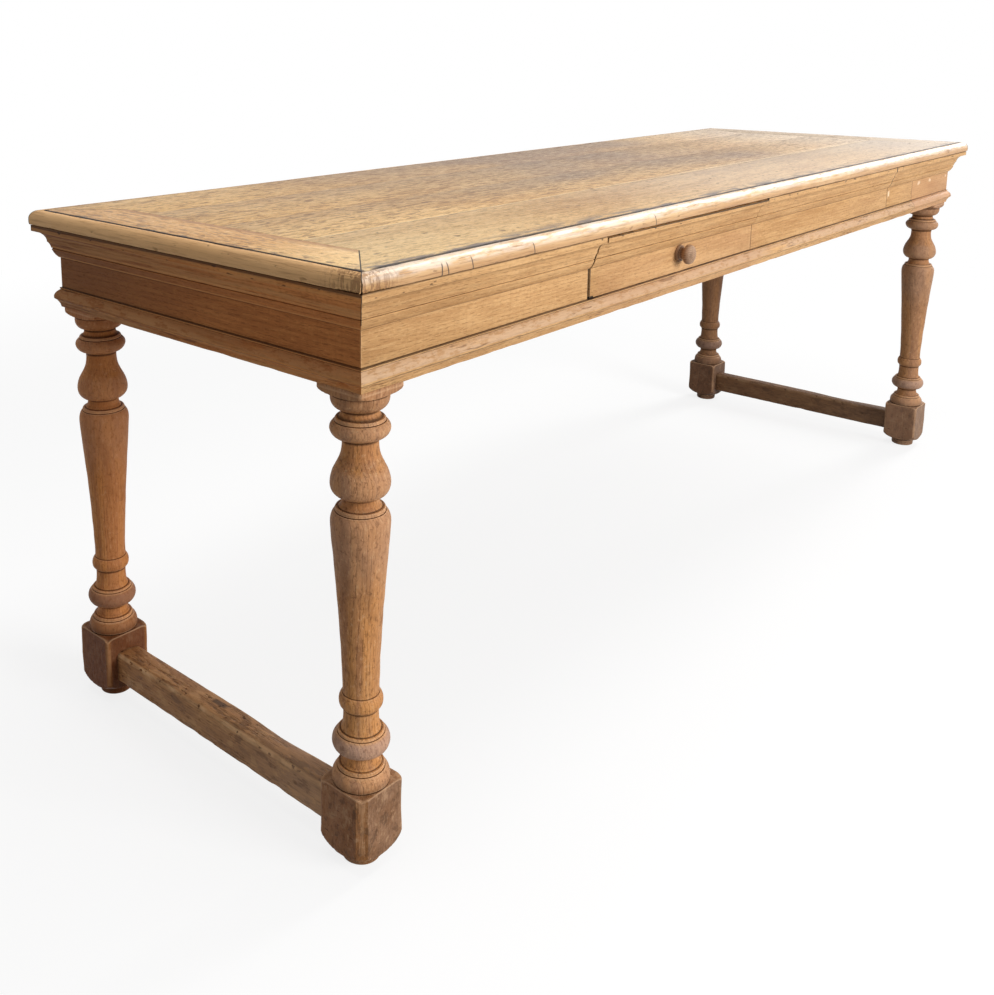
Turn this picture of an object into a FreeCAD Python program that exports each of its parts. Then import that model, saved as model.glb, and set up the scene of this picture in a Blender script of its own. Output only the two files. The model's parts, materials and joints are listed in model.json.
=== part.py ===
import FreeCAD, Part
import math
import os

# Farmhouse table in oak: turned legs, moulded apron with one drawer, end stretchers.
# Millimetres, +Z up, origin on the floor under the middle of the top, drawer towards -Y.

# Overall
table_height = 768.0
frame_length = 2075.0        # over the apron faces
frame_width = 616.0

# Top
top_thickness = 22.0
nosing_overhang = 31.0       # out from the apron face
nosing_width = 17.0
nosing_bottom_round = 5.0
nosing_flat = 4.0            # plain edge between the two rounds
nosing_land = 2.0            # level strip between the upper round and the groove
quirk_width = 2.0            # dark groove between nosing and boards
quirk_depth = 3.0
cross_board_width = 85.0
front_board_width = 182.0
back_board_width = 142.0
bearer_width = 45.0
bearer_height = 26.0
bearer_gap = 20.0            # between an end bearer and the leg beside it
glue_block_length = 36.0
glue_block_size = 18.0
glue_block_gap = 42.0        # between the drawer opening and the block on its left

# Apron, from the underside of the top downwards
apron_thickness = 22.0
cornice_height = 49.0
frieze_height = 45.0
base_mould_height = 30.0
cornice_reach = 29.0
cornice_fillet = 9.0         # flat band under the top
cornice_cove = 16.0          # radius of the hollow
cornice_lip = 1.5            # step where the cornice meets the frieze
cornice_ovolo_reach = 8.7
cornice_ovolo_height = 13.0
cornice_ovolo_swell = 0.9    # how far the ovolo curves out
cornice_quirk_depth = 1.1    # groove above the ovolo
cornice_quirk_height = 1.0
cornice_run_reach = 9.0
cornice_swell = 1.2          # how far the run between groove and hollow curves out
base_mould_reach = 9.0
base_mould_lip = 1.5         # step where the mould meets the frieze
base_mould_undercut = 1.5    # how far the hollow under the nose curves in
base_mould_swell = 0.8       # how far the sloping top curves out
base_mould_slope = 12.0      # height of the sloping top
base_mould_nose = 6.0        # height of the flat nose
patch_width = 162.0
patch_inset = 258.5          # in from the right end of the apron
patch_thickness = 8.0

# Legs, with heights stacked up from the floor to the ring and down from the apron to the shaft
leg_square = 75.0
edge_chamfer = 4.0
turning_allowance = 0.5      # between the widest bead and the face of the blank
bead_facets = 5
shaft_facets = 3
round_facets = 3
turning_sides = 24
foot_radius = 25.0
foot_height = 16.0
foot_round = 3.0
foot_groove = 2.0            # depth of the groove above the foot
foot_groove_height = 4.0
shoulder_height = 24.0
block_height = 67.0
base_height = 24.0
base_edge_height = 12.0
base_top_inset = 8.0
waist_radius = 22.0
waist_height = 8.0           # narrowest point, above the base and above the vase
lower_neck_height = 16.0
bead_edge_radius = 24.0
lower_bead_height = 27.0
collar_height = 34.0
collar_radius = 22.7
ring_height = 18.0
ring_radius = 27.8
ankle_radius = 23.3
shaft_curve = 1.3            # above 1, the taper is slimmer towards the ring
shaft_shoulder_height = 13.0
shaft_shoulder_inset = 5.5
shaft_neck_height = 15.5     # hollow between the fillet on the shoulder and the vase
fillet_inset = 3.0
fillet_height = 4.0
vase_round_height = 16.0
vase_belly_height = 24.5
vase_top_radius = 28.0
vase_neck_height = 33.5
upper_bead_height = 21.0
upper_neck_height = 9.5
disc_height = 20.0
disc_inset = 1.0
disc_round = 11.0
cap_round_height = 7.0
cap_height = 5.0

# Stretchers
stretcher_width = 42.0
stretcher_height = 47.0
stretcher_top = 81.0
stretcher_chamfer = 5.0
housing_depth = 6.0
housing_clearance = 1.5      # the housing is cut a little tall
tenon_width = 20.0
tenon_height = 33.0
tenon_length = 34.0
tenon_clearance = 1.0        # at the blind end
peg_size = 8.0
peg_cover = 13.0             # wood left between the end of a peg and the outer face

# Drawer
drawer_width = 516.0
drawer_centre = -314.0
drawer_back_gap = 94.0       # room behind the closed drawer
drawer_gap_left = 3.5
drawer_gap_right = 1.0
drawer_gap_top = 2.5
drawer_gap_bottom = 1.0
drawer_front_thickness = 22.0
drawer_side_thickness = 12.0
drawer_back_thickness = 12.0
drawer_bottom_thickness = 7.0
drawer_bottom_lift = 8.0
groove_depth = 5.0
back_drop = 8.0              # drawer back below the top of the sides
running_gap = 0.3
stop_gap = 0.3
side_inset = 1.0
tail_length = 14.0
tail_flare = 3.0
front_tails = 3
back_tails = 2

# Knob
knob_rise = 7.5              # above the middle of the drawer's plain face
knob_reach = 26.0
knob_head_radius = 15.5
knob_head_length = 13.0
knob_crown = 4.0
knob_crown_radius = 5.0
knob_neck_radius = 8.5
knob_flange_radius = 13.5
knob_flange_length = 4.5
spigot_radius = 5.0
spigot_clearance = 0.1

# Drawer supports
runner_height = 26.0
runner_tenon_length = 9.0
runner_tenon_height = 12.0
guide_width = 15.0
guide_height = 22.0
guide_clearance = 1.0
stop_width = 15.0
stop_length = 30.0
stop_height = 6.0
kicker_width = 30.0
kicker_height = 9.0
kicker_clearance = 2.0

# Levels and edges that follow from the sizes above
top_under = table_height - top_thickness
frieze_top = top_under - cornice_height
frieze_bottom = frieze_top - frieze_height
apron_bottom = frieze_bottom - base_mould_height
half_length = frame_length / 2
half_width = frame_width / 2
leg_x = half_length - leg_square / 2
leg_y = half_width - leg_square / 2
bead_radius = leg_square / 2 - turning_allowance
disc_radius = bead_radius - disc_inset
corner_radius = leg_square * 0.75   # clears the corners of the blank
inside_y = half_width - apron_thickness
board_overhang = nosing_overhang - nosing_width
nosing_top_round = min(
    top_thickness - nosing_bottom_round - nosing_flat,
    nosing_width - quirk_width - nosing_land,
)
block_top = foot_height + shoulder_height + block_height
stretcher_bottom = stretcher_top - stretcher_height
stretcher_middle = stretcher_top - stretcher_height / 2
drawer_left = drawer_centre - drawer_width / 2
drawer_right = drawer_centre + drawer_width / 2
opening_left = drawer_left - drawer_gap_left
opening_right = drawer_right + drawer_gap_right
patch_right = half_length - patch_inset
patch_left = patch_right - patch_width
drawer_front_bottom = frieze_bottom + drawer_gap_bottom
drawer_front_top = top_under - drawer_gap_top
knob_height = (drawer_front_bottom + frieze_top) / 2 + knob_rise
drawer_face = -half_width
drawer_front_inside = drawer_face + drawer_front_thickness
drawer_end = inside_y - drawer_back_gap
side_bottom = frieze_bottom + running_gap
side_top = top_under - kicker_height - kicker_clearance
bottom_under = side_bottom + drawer_bottom_lift
bottom_top = bottom_under + drawer_bottom_thickness
back_top = side_top - back_drop

ARC_INSET = 1 - math.sqrt(0.5)   # the middle of a quarter circle, in from its corner, per unit radius
SIDE_TURN = {"front": 0.0, "right": 90.0, "back": 180.0, "left": 270.0}
LEG_CORNERS = {
    "front_left": (-1, -1),
    "front_right": (1, -1),
    "back_left": (-1, 1),
    "back_right": (1, 1),
}


def save(name, shape):
    shape.exportStep("parts/" + name + ".step")


def box(low_x, high_x, low_y, high_y, low_z, high_z):
    corner = FreeCAD.Vector(low_x, low_y, low_z)
    return Part.makeBox(high_x - low_x, high_y - low_y, high_z - low_z, corner)


def prism(plan_points, low_z, high_z):
    """A solid standing on a plan outline."""
    corners = [FreeCAD.Vector(x, y, low_z) for x, y in plan_points]
    face = Part.Face(Part.makePolygon(corners + corners[:1]))
    return face.extrude(FreeCAD.Vector(0, 0, high_z - low_z))


def profile_face(steps, place):
    """A closed outline: a pair is a straight run to that point, two pairs an arc through the first."""
    start = place(*steps[0])
    here = start
    edges = []
    for step in steps[1:]:
        if isinstance(step[0], tuple):
            through, end = place(*step[0]), place(*step[1])
            edges.append(Part.Arc(here, through, end).toShape())
        else:
            end = place(*step)
            edges.append(Part.makeLine(here, end))
        here = end
    edges.append(Part.makeLine(here, start))
    return Part.Face(Part.Wire(edges))


def turned(steps):
    """A solid turned about +Z from radius and height steps, as flat facets between rings of points."""
    angles = [2 * math.pi * place / turning_sides for place in range(turning_sides)]
    even_out = 1 / math.sqrt(math.cos(math.pi / turning_sides))
    rings = []
    for radius, height in steps:
        reach = radius * even_out
        rings.append([FreeCAD.Vector(reach * math.cos(a), reach * math.sin(a), height) for a in angles])
    outlines = [rings[0], rings[-1]]
    for low, high in zip(rings, rings[1:]):
        for place in range(turning_sides):
            outlines.append([low[place - 1], low[place], high[place], high[place - 1]])
    faces = [Part.Face(Part.makePolygon(corners + corners[:1])) for corners in outlines]
    shell = Part.makeShell(faces)
    shell.sewShape()
    return Part.makeSolid(shell)


def to_side(shape, side):
    """Turns a piece made along the front round to another side of the table."""
    shape.rotate(FreeCAD.Vector(0, 0, 0), FreeCAD.Vector(0, 0, 1), SIDE_TURN[side])
    return shape


def side_half_sizes(side):
    """Half the run along a side, and its distance from the middle of the table."""
    if side in ("front", "back"):
        return half_length, half_width
    return half_width, half_length


def strip_plan(side, inner, outer, start=None, end=None):
    """Plan of a strip between two distances out from the apron face; an end left open is mitred."""
    run, away = side_half_sizes(side)
    points = []
    for out in (inner, outer):
        points.append((-run - out if start is None else start, -away - out))
    for out in (outer, inner):
        points.append((run + out if end is None else end, -away - out))
    return points


def board_strip(side, inner, outer, low_z, high_z, start=None, end=None):
    """A plain board along one side of the table."""
    return to_side(prism(strip_plan(side, inner, outer, start, end), low_z, high_z), side)


def moulded_strip(side, steps, start=None, end=None, high_z=None):
    """A moulding along one side, its section given as distance out from the apron face and height."""
    run, away = side_half_sizes(side)
    face = profile_face(steps, lambda out, height: FreeCAD.Vector(-run - away, -away - out, height))
    bar = face.extrude(FreeCAD.Vector(2 * (run + away), 0, 0))
    bounds = face.BoundBox
    inner, outer = -bounds.YMax - away, -bounds.YMin - away
    limit = bounds.ZMax if high_z is None else high_z
    return to_side(bar.common(prism(strip_plan(side, inner, outer, start, end), bounds.ZMin, limit)), side)


def arc_middle(low, high, bulge):
    """The point halfway between two points, moved out by a bulge along the radius."""
    return ((low[0] + high[0]) / 2 + bulge, (low[1] + high[1]) / 2)


def bead(low, high, peak, facets):
    """Points of a round bead after its low edge, swelling to the peak radius halfway up."""
    points = []
    for place in range(1, facets + 1):
        share = place / facets
        edge = low[0] + (high[0] - low[0]) * share
        radius = edge + (peak - edge) * math.sin(math.pi * share)
        height = (low[1] + high[1]) / 2 - (high[1] - low[1]) / 2 * math.cos(math.pi * share)
        points.append((radius, height))
    return points


def quarter_round(level, plumb):
    """Points of a quarter ellipse, from the end where it runs level to the end where it runs plumb."""
    points = []
    for place in range(round_facets + 1):
        turn = math.pi / 2 * place / round_facets
        radius = level[0] + (plumb[0] - level[0]) * math.sin(turn)
        points.append((radius, plumb[1] + (level[1] - plumb[1]) * math.cos(turn)))
    return points


def tapered_shaft(ankle, widest):
    """Points of the shaft above the ring, widening in a slight curve."""
    points = []
    for place in range(1, shaft_facets + 1):
        share = place / shaft_facets
        radius = ankle[0] + (widest[0] - ankle[0]) * share ** shaft_curve
        points.append((radius, ankle[1] + (widest[1] - ankle[1]) * share))
    return points


def leg_profile():
    """Radius and height of the turned leg from the floor to the top of the post."""
    shoulder_top = foot_height + shoulder_height
    base_edge = block_top + base_edge_height
    base_top = block_top + base_height
    neck_top = base_top + lower_neck_height
    bead_top = neck_top + lower_bead_height
    collar_top = bead_top + collar_height
    ankle = (ankle_radius, collar_top + ring_height)
    cap_low = apron_bottom - cap_height - cap_round_height
    disc_low = cap_low - disc_height
    upper_bead_top = disc_low - upper_neck_height - fillet_height
    upper_bead_low = upper_bead_top - upper_bead_height
    vase_top = upper_bead_low - vase_neck_height
    vase_belly = vase_top - vase_belly_height
    vase_low = vase_belly - vase_round_height
    shoulder_radius = bead_radius - shaft_shoulder_inset
    shaft_top = vase_low - shaft_neck_height - fillet_height
    widest = (bead_radius, shaft_top - shaft_shoulder_height)
    steps = [
        (foot_radius - foot_round, 0),
        (foot_radius, foot_round),
        (foot_radius, foot_height - foot_groove_height),
        (foot_radius - foot_groove, foot_height - foot_groove_height / 2),
    ]
    steps += quarter_round((foot_radius, foot_height), (corner_radius, shoulder_top))
    steps += [(corner_radius, block_top), (bead_radius, block_top)]
    steps += reversed(quarter_round((bead_radius - base_top_inset, base_top), (bead_radius, base_edge)))
    steps += [(waist_radius, base_top + waist_height), (bead_edge_radius, neck_top)]
    steps += bead(steps[-1], (bead_edge_radius, bead_top), bead_radius, bead_facets)
    steps += [(collar_radius, collar_top)]
    steps += bead(steps[-1], ankle, ring_radius, bead_facets - 1)
    steps += tapered_shaft(ankle, widest)
    steps += list(reversed(quarter_round((shoulder_radius, shaft_top), widest)))[1:]
    steps += [
        (shoulder_radius - fillet_inset, shaft_top + fillet_height),
        (bead_edge_radius, shaft_top + fillet_height + waist_height),
    ]
    steps += quarter_round((bead_edge_radius, vase_low), (bead_radius, vase_belly))
    steps += [
        ((bead_radius * 2 + vase_top_radius) / 3, (vase_belly + vase_top) / 2),
        (vase_top_radius, vase_top),
        (waist_radius, upper_bead_low - waist_height),
        (bead_edge_radius, upper_bead_low),
    ]
    steps += bead(steps[-1], (shoulder_radius, upper_bead_top), bead_radius, bead_facets)
    steps += [
        (shoulder_radius - fillet_inset, upper_bead_top + fillet_height),
        (bead_edge_radius, disc_low - upper_neck_height / 2),
    ]
    steps += quarter_round((disc_radius - disc_round, disc_low), (disc_radius, disc_low + disc_round))
    steps += [
        (disc_radius, cap_low),
        (corner_radius, cap_low + cap_round_height),
        (corner_radius, top_under),
    ]
    return steps


def stretcher_tenon(side_x, side_y, clearance):
    """The tenon at one end of a stretcher, longer by the clearance when it stands for the mortise."""
    face = side_y * (leg_y - leg_square / 2 + housing_depth)
    blind = face + side_y * (tenon_length + clearance)
    low_y, high_y = sorted((face, blind))
    middle = side_x * leg_x
    return box(
        middle - tenon_width / 2, middle + tenon_width / 2, low_y, high_y,
        stretcher_middle - tenon_height / 2, stretcher_middle + tenon_height / 2,
    )


def stretcher_peg(side_x, side_y):
    """The square peg through a stretcher tenon, driven from the inner face of the block."""
    inner_face = side_x * (leg_x - leg_square / 2)
    middle = side_y * (leg_y - leg_square / 2 + housing_depth + tenon_length / 2)
    low_x, high_x = sorted((inner_face, inner_face + side_x * (leg_square - peg_cover)))
    return box(
        low_x, high_x, middle - peg_size / 2, middle + peg_size / 2,
        stretcher_middle - peg_size / 2, stretcher_middle + peg_size / 2,
    )


def apron_space():
    """The room that two apron boards take from the outer faces of the front left post."""
    on_end = box(-half_length, -half_length + apron_thickness, -half_width, 0, apron_bottom, top_under)
    on_long = box(-half_length, 0, -half_width, -half_width + apron_thickness, apron_bottom, top_under)
    return on_end.fuse(on_long)


def leg():
    """The front left leg, turned from a square blank, with its post rebated for the apron boards."""
    blank = box(-leg_square / 2, leg_square / 2, -leg_square / 2, leg_square / 2, 0, top_under)
    shape = blank.common(turned(leg_profile()))
    for turn_x in (-1, 1):
        for turn_y in (-1, 1):
            edge_x, edge_y = turn_x * leg_square / 2, turn_y * leg_square / 2
            corner = [
                (edge_x, edge_y),
                (edge_x - turn_x * edge_chamfer, edge_y),
                (edge_x, edge_y - turn_y * edge_chamfer),
            ]
            shape = shape.cut(prism(corner, foot_height, block_top))
    shape.translate(FreeCAD.Vector(-leg_x, -leg_y, 0))
    inner_face = -leg_y + leg_square / 2
    housing = box(
        -leg_x - stretcher_width / 2, -leg_x + stretcher_width / 2, inner_face - housing_depth, inner_face,
        stretcher_bottom, stretcher_top + housing_clearance,
    )
    shape = shape.cut(apron_space()).cut(housing)
    return shape.cut(stretcher_tenon(-1, -1, tenon_clearance)).cut(stretcher_peg(-1, -1))


def make_legs():
    """Four legs, the other three mirrored from the front left one."""
    first = leg()
    for corner, (side_x, side_y) in LEG_CORNERS.items():
        shape = first.copy()
        if side_x > 0:
            shape = shape.mirror(FreeCAD.Vector(0, 0, 0), FreeCAD.Vector(1, 0, 0))
        if side_y > 0:
            shape = shape.mirror(FreeCAD.Vector(0, 0, 0), FreeCAD.Vector(0, 1, 0))
        save("leg_" + corner, shape)


def stretcher(side_x):
    """A low rail between two leg blocks, its top edges worn off, with a tenon at each end."""
    reach = leg_y - leg_square / 2 + housing_depth
    half = stretcher_width / 2
    chamfer = stretcher_chamfer
    steps = [
        (-half, stretcher_bottom),
        (half, stretcher_bottom),
        (half, stretcher_top - chamfer),
        (half - chamfer, stretcher_top),
        (-half + chamfer, stretcher_top),
        (-half, stretcher_top - chamfer),
    ]
    face = profile_face(steps, lambda across, height: FreeCAD.Vector(side_x * leg_x + across, -reach, height))
    shape = face.extrude(FreeCAD.Vector(0, 2 * reach, 0))
    for side_y in (-1, 1):
        shape = shape.fuse(stretcher_tenon(side_x, side_y, 0))
        shape = shape.cut(stretcher_peg(side_x, side_y))
    return shape


def make_stretchers():
    save("stretcher_left", stretcher(-1))
    save("stretcher_right", stretcher(1))
    pegs = [stretcher_peg(side_x, side_y) for side_x, side_y in LEG_CORNERS.values()]
    save("stretcher_pegs", Part.makeCompound(pegs))


def runner_span(side):
    """Edges of the runner on one side of the drawer, from its guide to under the stop."""
    outer = guide_width + guide_clearance - side_inset
    inner = side_inset + drawer_side_thickness + stop_width
    if side == "left":
        return drawer_left - outer, drawer_left + inner
    return drawer_right - inner, drawer_right + outer


def runner(side):
    """A bar from the drawer rail to the back apron, with a stub tenon at each end."""
    low_x, high_x = runner_span(side)
    shape = box(low_x, high_x, -inside_y, inside_y, frieze_bottom - runner_height, frieze_bottom)
    middle = frieze_bottom - runner_height / 2
    tenon = box(
        low_x, high_x, -inside_y - runner_tenon_length, inside_y + runner_tenon_length,
        middle - runner_tenon_height / 2, middle + runner_tenon_height / 2,
    )
    return shape.fuse(tenon).removeSplitter()


def make_apron():
    """Boards of the apron, mitred at the corners, with the front one open for the drawer."""
    runners = [runner("left"), runner("right")]
    back = board_strip("back", -apron_thickness, 0, apron_bottom, top_under)
    rail = board_strip("front", -apron_thickness, 0, apron_bottom, frieze_bottom)
    for bar in runners:
        back = back.cut(bar)
        rail = rail.cut(bar)
    save("apron_back", back)
    save("drawer_rail", rail)
    for side in ("left", "right"):
        save("apron_" + side, board_strip(side, -apron_thickness, 0, apron_bottom, top_under))
    left = board_strip("front", -apron_thickness, 0, frieze_bottom, top_under, end=opening_left)
    right = board_strip("front", -apron_thickness, 0, frieze_bottom, top_under, start=opening_right)
    patch = board_strip(
        "front", -patch_thickness, 0, frieze_bottom, frieze_top,
        start=patch_left, end=patch_right,
    )
    save("apron_front_left", left)
    save("apron_front_right", right.cut(patch))
    save("apron_patch", patch)


def cornice_steps():
    """Section of the cornice: flat band, hollow, swelling run, groove and ovolo."""
    ovolo_top = frieze_top + cornice_ovolo_height
    run_low = ovolo_top + cornice_quirk_height
    quirk_out = cornice_ovolo_reach - cornice_quirk_depth
    cove_top = top_under - cornice_fillet
    cove_low = cove_top - cornice_cove
    cove_out = cornice_reach - cornice_cove
    deep = cornice_cove * ARC_INSET
    ovolo = arc_middle((cornice_lip, frieze_top), (cornice_ovolo_reach, ovolo_top), cornice_ovolo_swell)
    swell = arc_middle((cornice_run_reach, run_low), (cove_out, cove_low), cornice_swell)
    return [
        (0, frieze_top),
        (cornice_lip, frieze_top),
        (ovolo, (cornice_ovolo_reach, ovolo_top)),
        (quirk_out, ovolo_top),
        (quirk_out, run_low),
        (cornice_run_reach, run_low),
        (swell, (cove_out, cove_low)),
        ((cove_out + deep, cove_top - deep), (cornice_reach, cove_top)),
        (cornice_reach, top_under),
        (0, top_under),
    ]


def base_mould_steps():
    """Section of the base mould: sloping top, flat nose and undercut."""
    slope_low = frieze_bottom - base_mould_slope
    nose_low = slope_low - base_mould_nose
    undercut = arc_middle((base_mould_lip, apron_bottom), (base_mould_reach, nose_low), -base_mould_undercut)
    slope = arc_middle((base_mould_reach, slope_low), (base_mould_lip, frieze_bottom), base_mould_swell)
    return [
        (0, apron_bottom),
        (base_mould_lip, apron_bottom),
        (undercut, (base_mould_reach, nose_low)),
        (base_mould_reach, slope_low),
        (slope, (base_mould_lip, frieze_bottom)),
        (0, frieze_bottom),
    ]


def make_mouldings():
    """Cornice under the top and mould along the foot of the apron, mitred at the corners."""
    for side in SIDE_TURN:
        save("base_mould_" + side, moulded_strip(side, base_mould_steps()))
    for side in ("back", "left", "right"):
        save("cornice_" + side, moulded_strip(side, cornice_steps()))
    save("cornice_front_left", moulded_strip("front", cornice_steps(), end=opening_left))
    save("cornice_front_middle", moulded_strip("front", cornice_steps(), opening_right, patch_left))
    save("cornice_front_right", moulded_strip("front", cornice_steps(), start=patch_left))


def nosing_steps():
    """Section of the rounded nosing, with a quirk against the boards."""
    high_round = nosing_top_round
    low_round = nosing_bottom_round
    high_slack = high_round * ARC_INSET
    low_slack = low_round * ARC_INSET
    return [
        (board_overhang, top_under),
        (nosing_overhang - low_round, top_under),
        (
            (nosing_overhang - low_slack, top_under + low_slack),
            (nosing_overhang, top_under + low_round),
        ),
        (nosing_overhang, table_height - high_round),
        (
            (nosing_overhang - high_slack, table_height - high_slack),
            (nosing_overhang - high_round, table_height),
        ),
        (board_overhang + quirk_width, table_height),
        (board_overhang + quirk_width, table_height - quirk_depth),
        (board_overhang, table_height - quirk_depth),
    ]


def outer_board(width):
    """Plan of the front board, which takes the mitred ends of the cross boards."""
    long_x = half_length + board_overhang
    long_y = half_width + board_overhang
    square_x = long_x - cross_board_width
    mitre_y = long_y - cross_board_width
    inner_y = long_y - width
    return [
        (-long_x, -long_y), (long_x, -long_y), (square_x, -mitre_y),
        (square_x, -inner_y), (-square_x, -inner_y), (-square_x, -mitre_y),
    ]


def make_top():
    """Long boards, cross boards mitred into them, nosing, bearers and glue blocks."""
    long_y = half_width + board_overhang
    square_x = half_length + board_overhang - cross_board_width
    front_joint = -long_y + front_board_width
    back_joint = long_y - back_board_width
    middle_joint = (front_joint + back_joint) / 2
    save("top_board_front", prism(outer_board(front_board_width), top_under, table_height))
    back = prism(outer_board(back_board_width), top_under, table_height)
    save("top_board_back", to_side(back, "back"))
    save("top_board_second", box(-square_x, square_x, front_joint, middle_joint, top_under, table_height))
    save("top_board_third", box(-square_x, square_x, middle_joint, back_joint, top_under, table_height))
    for side in ("left", "right"):
        inner = board_overhang - cross_board_width
        save("cross_board_" + side, board_strip(side, inner, board_overhang, top_under, table_height))
    for side in SIDE_TURN:
        save("nosing_" + side, moulded_strip(side, nosing_steps()))
    leg_inside = leg_x - leg_square / 2
    right_run = leg_inside - opening_right
    end_bearer = leg_inside - bearer_gap - bearer_width / 2
    bearers = {"left": -end_bearer, "middle": opening_right + right_run / 2, "right": end_bearer}
    for name, place in bearers.items():
        bearer = box(
            place - bearer_width / 2, place + bearer_width / 2, -inside_y, inside_y,
            top_under - bearer_height, top_under,
        )
        save("top_bearer_" + name, bearer)
    beside_drawer = opening_left - glue_block_gap - glue_block_length / 2
    long_side = (beside_drawer, opening_right + right_run / 4, opening_right + right_run * 3 / 4)
    quarter = (leg_y - leg_square / 2) / 2
    places = {"front": long_side, "back": [-place for place in long_side]}
    blocks = []
    for side in SIDE_TURN:
        for middle in places.get(side, (-quarter, quarter)):
            blocks.append(board_strip(
                side, -apron_thickness - glue_block_size, -apron_thickness,
                top_under - glue_block_size, top_under,
                middle - glue_block_length / 2, middle + glue_block_length / 2,
            ))
    save("glue_blocks", Part.makeCompound(blocks))


def tails(low_x, high_x, root_y, tip_y, low_z, high_z, count):
    """A row of dovetails on the end of a drawer side, wider at the tip than at the root."""
    pitch = (high_z - low_z) / count
    solids = []
    for place in range(count):
        middle = low_z + pitch * (place + 0.5)
        root, tip = pitch / 4, pitch / 4 + tail_flare
        corners = [
            (root_y, middle - root), (tip_y, middle - tip),
            (tip_y, middle + tip), (root_y, middle + root),
        ]
        points = [FreeCAD.Vector(low_x, y, z) for y, z in corners]
        face = Part.Face(Part.makePolygon(points + points[:1]))
        solids.append(face.extrude(FreeCAD.Vector(high_x - low_x, 0, 0)))
    return Part.makeCompound(solids)


def knob():
    """A turned knob with a flange, a neck, a mushroom head and a spigot through the drawer front."""
    head_low = knob_reach - knob_head_length
    steps = [
        (spigot_radius, -drawer_front_thickness),
        (spigot_radius, 0),
        (knob_flange_radius, 0),
        (knob_flange_radius, knob_flange_length),
        (knob_neck_radius, (knob_flange_length + head_low) / 2),
        (knob_flange_radius, head_low),
        (knob_head_radius, head_low + knob_head_length / 3),
        (knob_flange_radius, knob_reach - knob_crown),
        (knob_crown_radius, knob_reach),
    ]
    shape = turned(steps)
    shape.rotate(FreeCAD.Vector(0, 0, 0), FreeCAD.Vector(1, 0, 0), 90)
    shape.translate(FreeCAD.Vector(drawer_centre, drawer_face, knob_height))
    return shape


def make_drawer():
    """The dovetailed drawer: front with its cornice, sides, back, bottom and knob."""
    sides = {
        "left": (drawer_left + side_inset, drawer_left + side_inset + drawer_side_thickness),
        "right": (drawer_right - side_inset - drawer_side_thickness, drawer_right - side_inset),
    }
    left_outside, right_outside = sides["left"][0], sides["right"][1]
    left_inside, right_inside = sides["left"][1], sides["right"][0]
    back_inside = drawer_end - drawer_back_thickness
    bottom = box(
        left_inside - groove_depth, right_inside + groove_depth,
        drawer_front_inside - groove_depth, drawer_end, bottom_under, bottom_top,
    )
    front = box(
        drawer_left, drawer_right, drawer_face, drawer_front_inside, drawer_front_bottom, drawer_front_top,
    )
    back = box(left_outside, right_outside, back_inside, drawer_end, bottom_top, back_top)
    tail_tip = drawer_front_inside - tail_length
    front_rows = {}
    for name, (low_x, high_x) in sides.items():
        front_rows[name] = tails(
            low_x, high_x, drawer_front_inside, tail_tip, bottom_top, side_top, front_tails,
        )
        front = front.cut(front_rows[name])
        back = back.cut(tails(low_x, high_x, back_inside, drawer_end, bottom_top, back_top, back_tails))
    for name, (low_x, high_x) in sides.items():
        side = box(low_x, high_x, drawer_front_inside, drawer_end, side_bottom, side_top)
        side = side.fuse(front_rows[name]).cut(back).cut(bottom)
        save("drawer_side_" + name, side.removeSplitter())
    spigot_start = FreeCAD.Vector(drawer_centre, drawer_face, knob_height)
    spigot_hole = Part.makeCylinder(
        spigot_radius + spigot_clearance, drawer_front_thickness, spigot_start, FreeCAD.Vector(0, 1, 0),
    )
    save("drawer_front", front.cut(bottom).cut(spigot_hole))
    save("drawer_back", back)
    save("drawer_bottom", bottom)
    save("drawer_knob", knob())
    cornice = moulded_strip("front", cornice_steps(), drawer_left, drawer_right, drawer_front_top)
    save("drawer_cornice", cornice)


def make_drawer_supports():
    """Runners, guides, kickers and stops that carry and hold the drawer."""
    stops = []
    for side in ("left", "right"):
        low_x, high_x = runner_span(side)
        save("drawer_runner_" + side, runner(side))
        guide_x = (low_x, low_x + guide_width) if side == "left" else (high_x - guide_width, high_x)
        guide = box(*guide_x, -inside_y, inside_y, frieze_bottom, frieze_bottom + guide_height)
        save("drawer_guide_" + side, guide)
        stop_x = (high_x - stop_width, high_x) if side == "left" else (low_x, low_x + stop_width)
        stop_y = drawer_front_inside + stop_gap
        stops.append(box(*stop_x, stop_y, stop_y + stop_length, frieze_bottom, frieze_bottom + stop_height))
        middle = drawer_left + side_inset if side == "left" else drawer_right - side_inset
        kicker = box(
            middle - kicker_width / 2, middle + kicker_width / 2, -inside_y, inside_y,
            top_under - kicker_height, top_under,
        )
        save("drawer_kicker_" + side, kicker)
    save("drawer_stops", Part.makeCompound(stops))


os.makedirs("parts", exist_ok=True)
make_legs()
make_stretchers()
make_apron()
make_mouldings()
make_top()
make_drawer()
make_drawer_supports()
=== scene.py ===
import json
import math

import bpy
from mathutils import Matrix, Vector, noise

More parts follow.
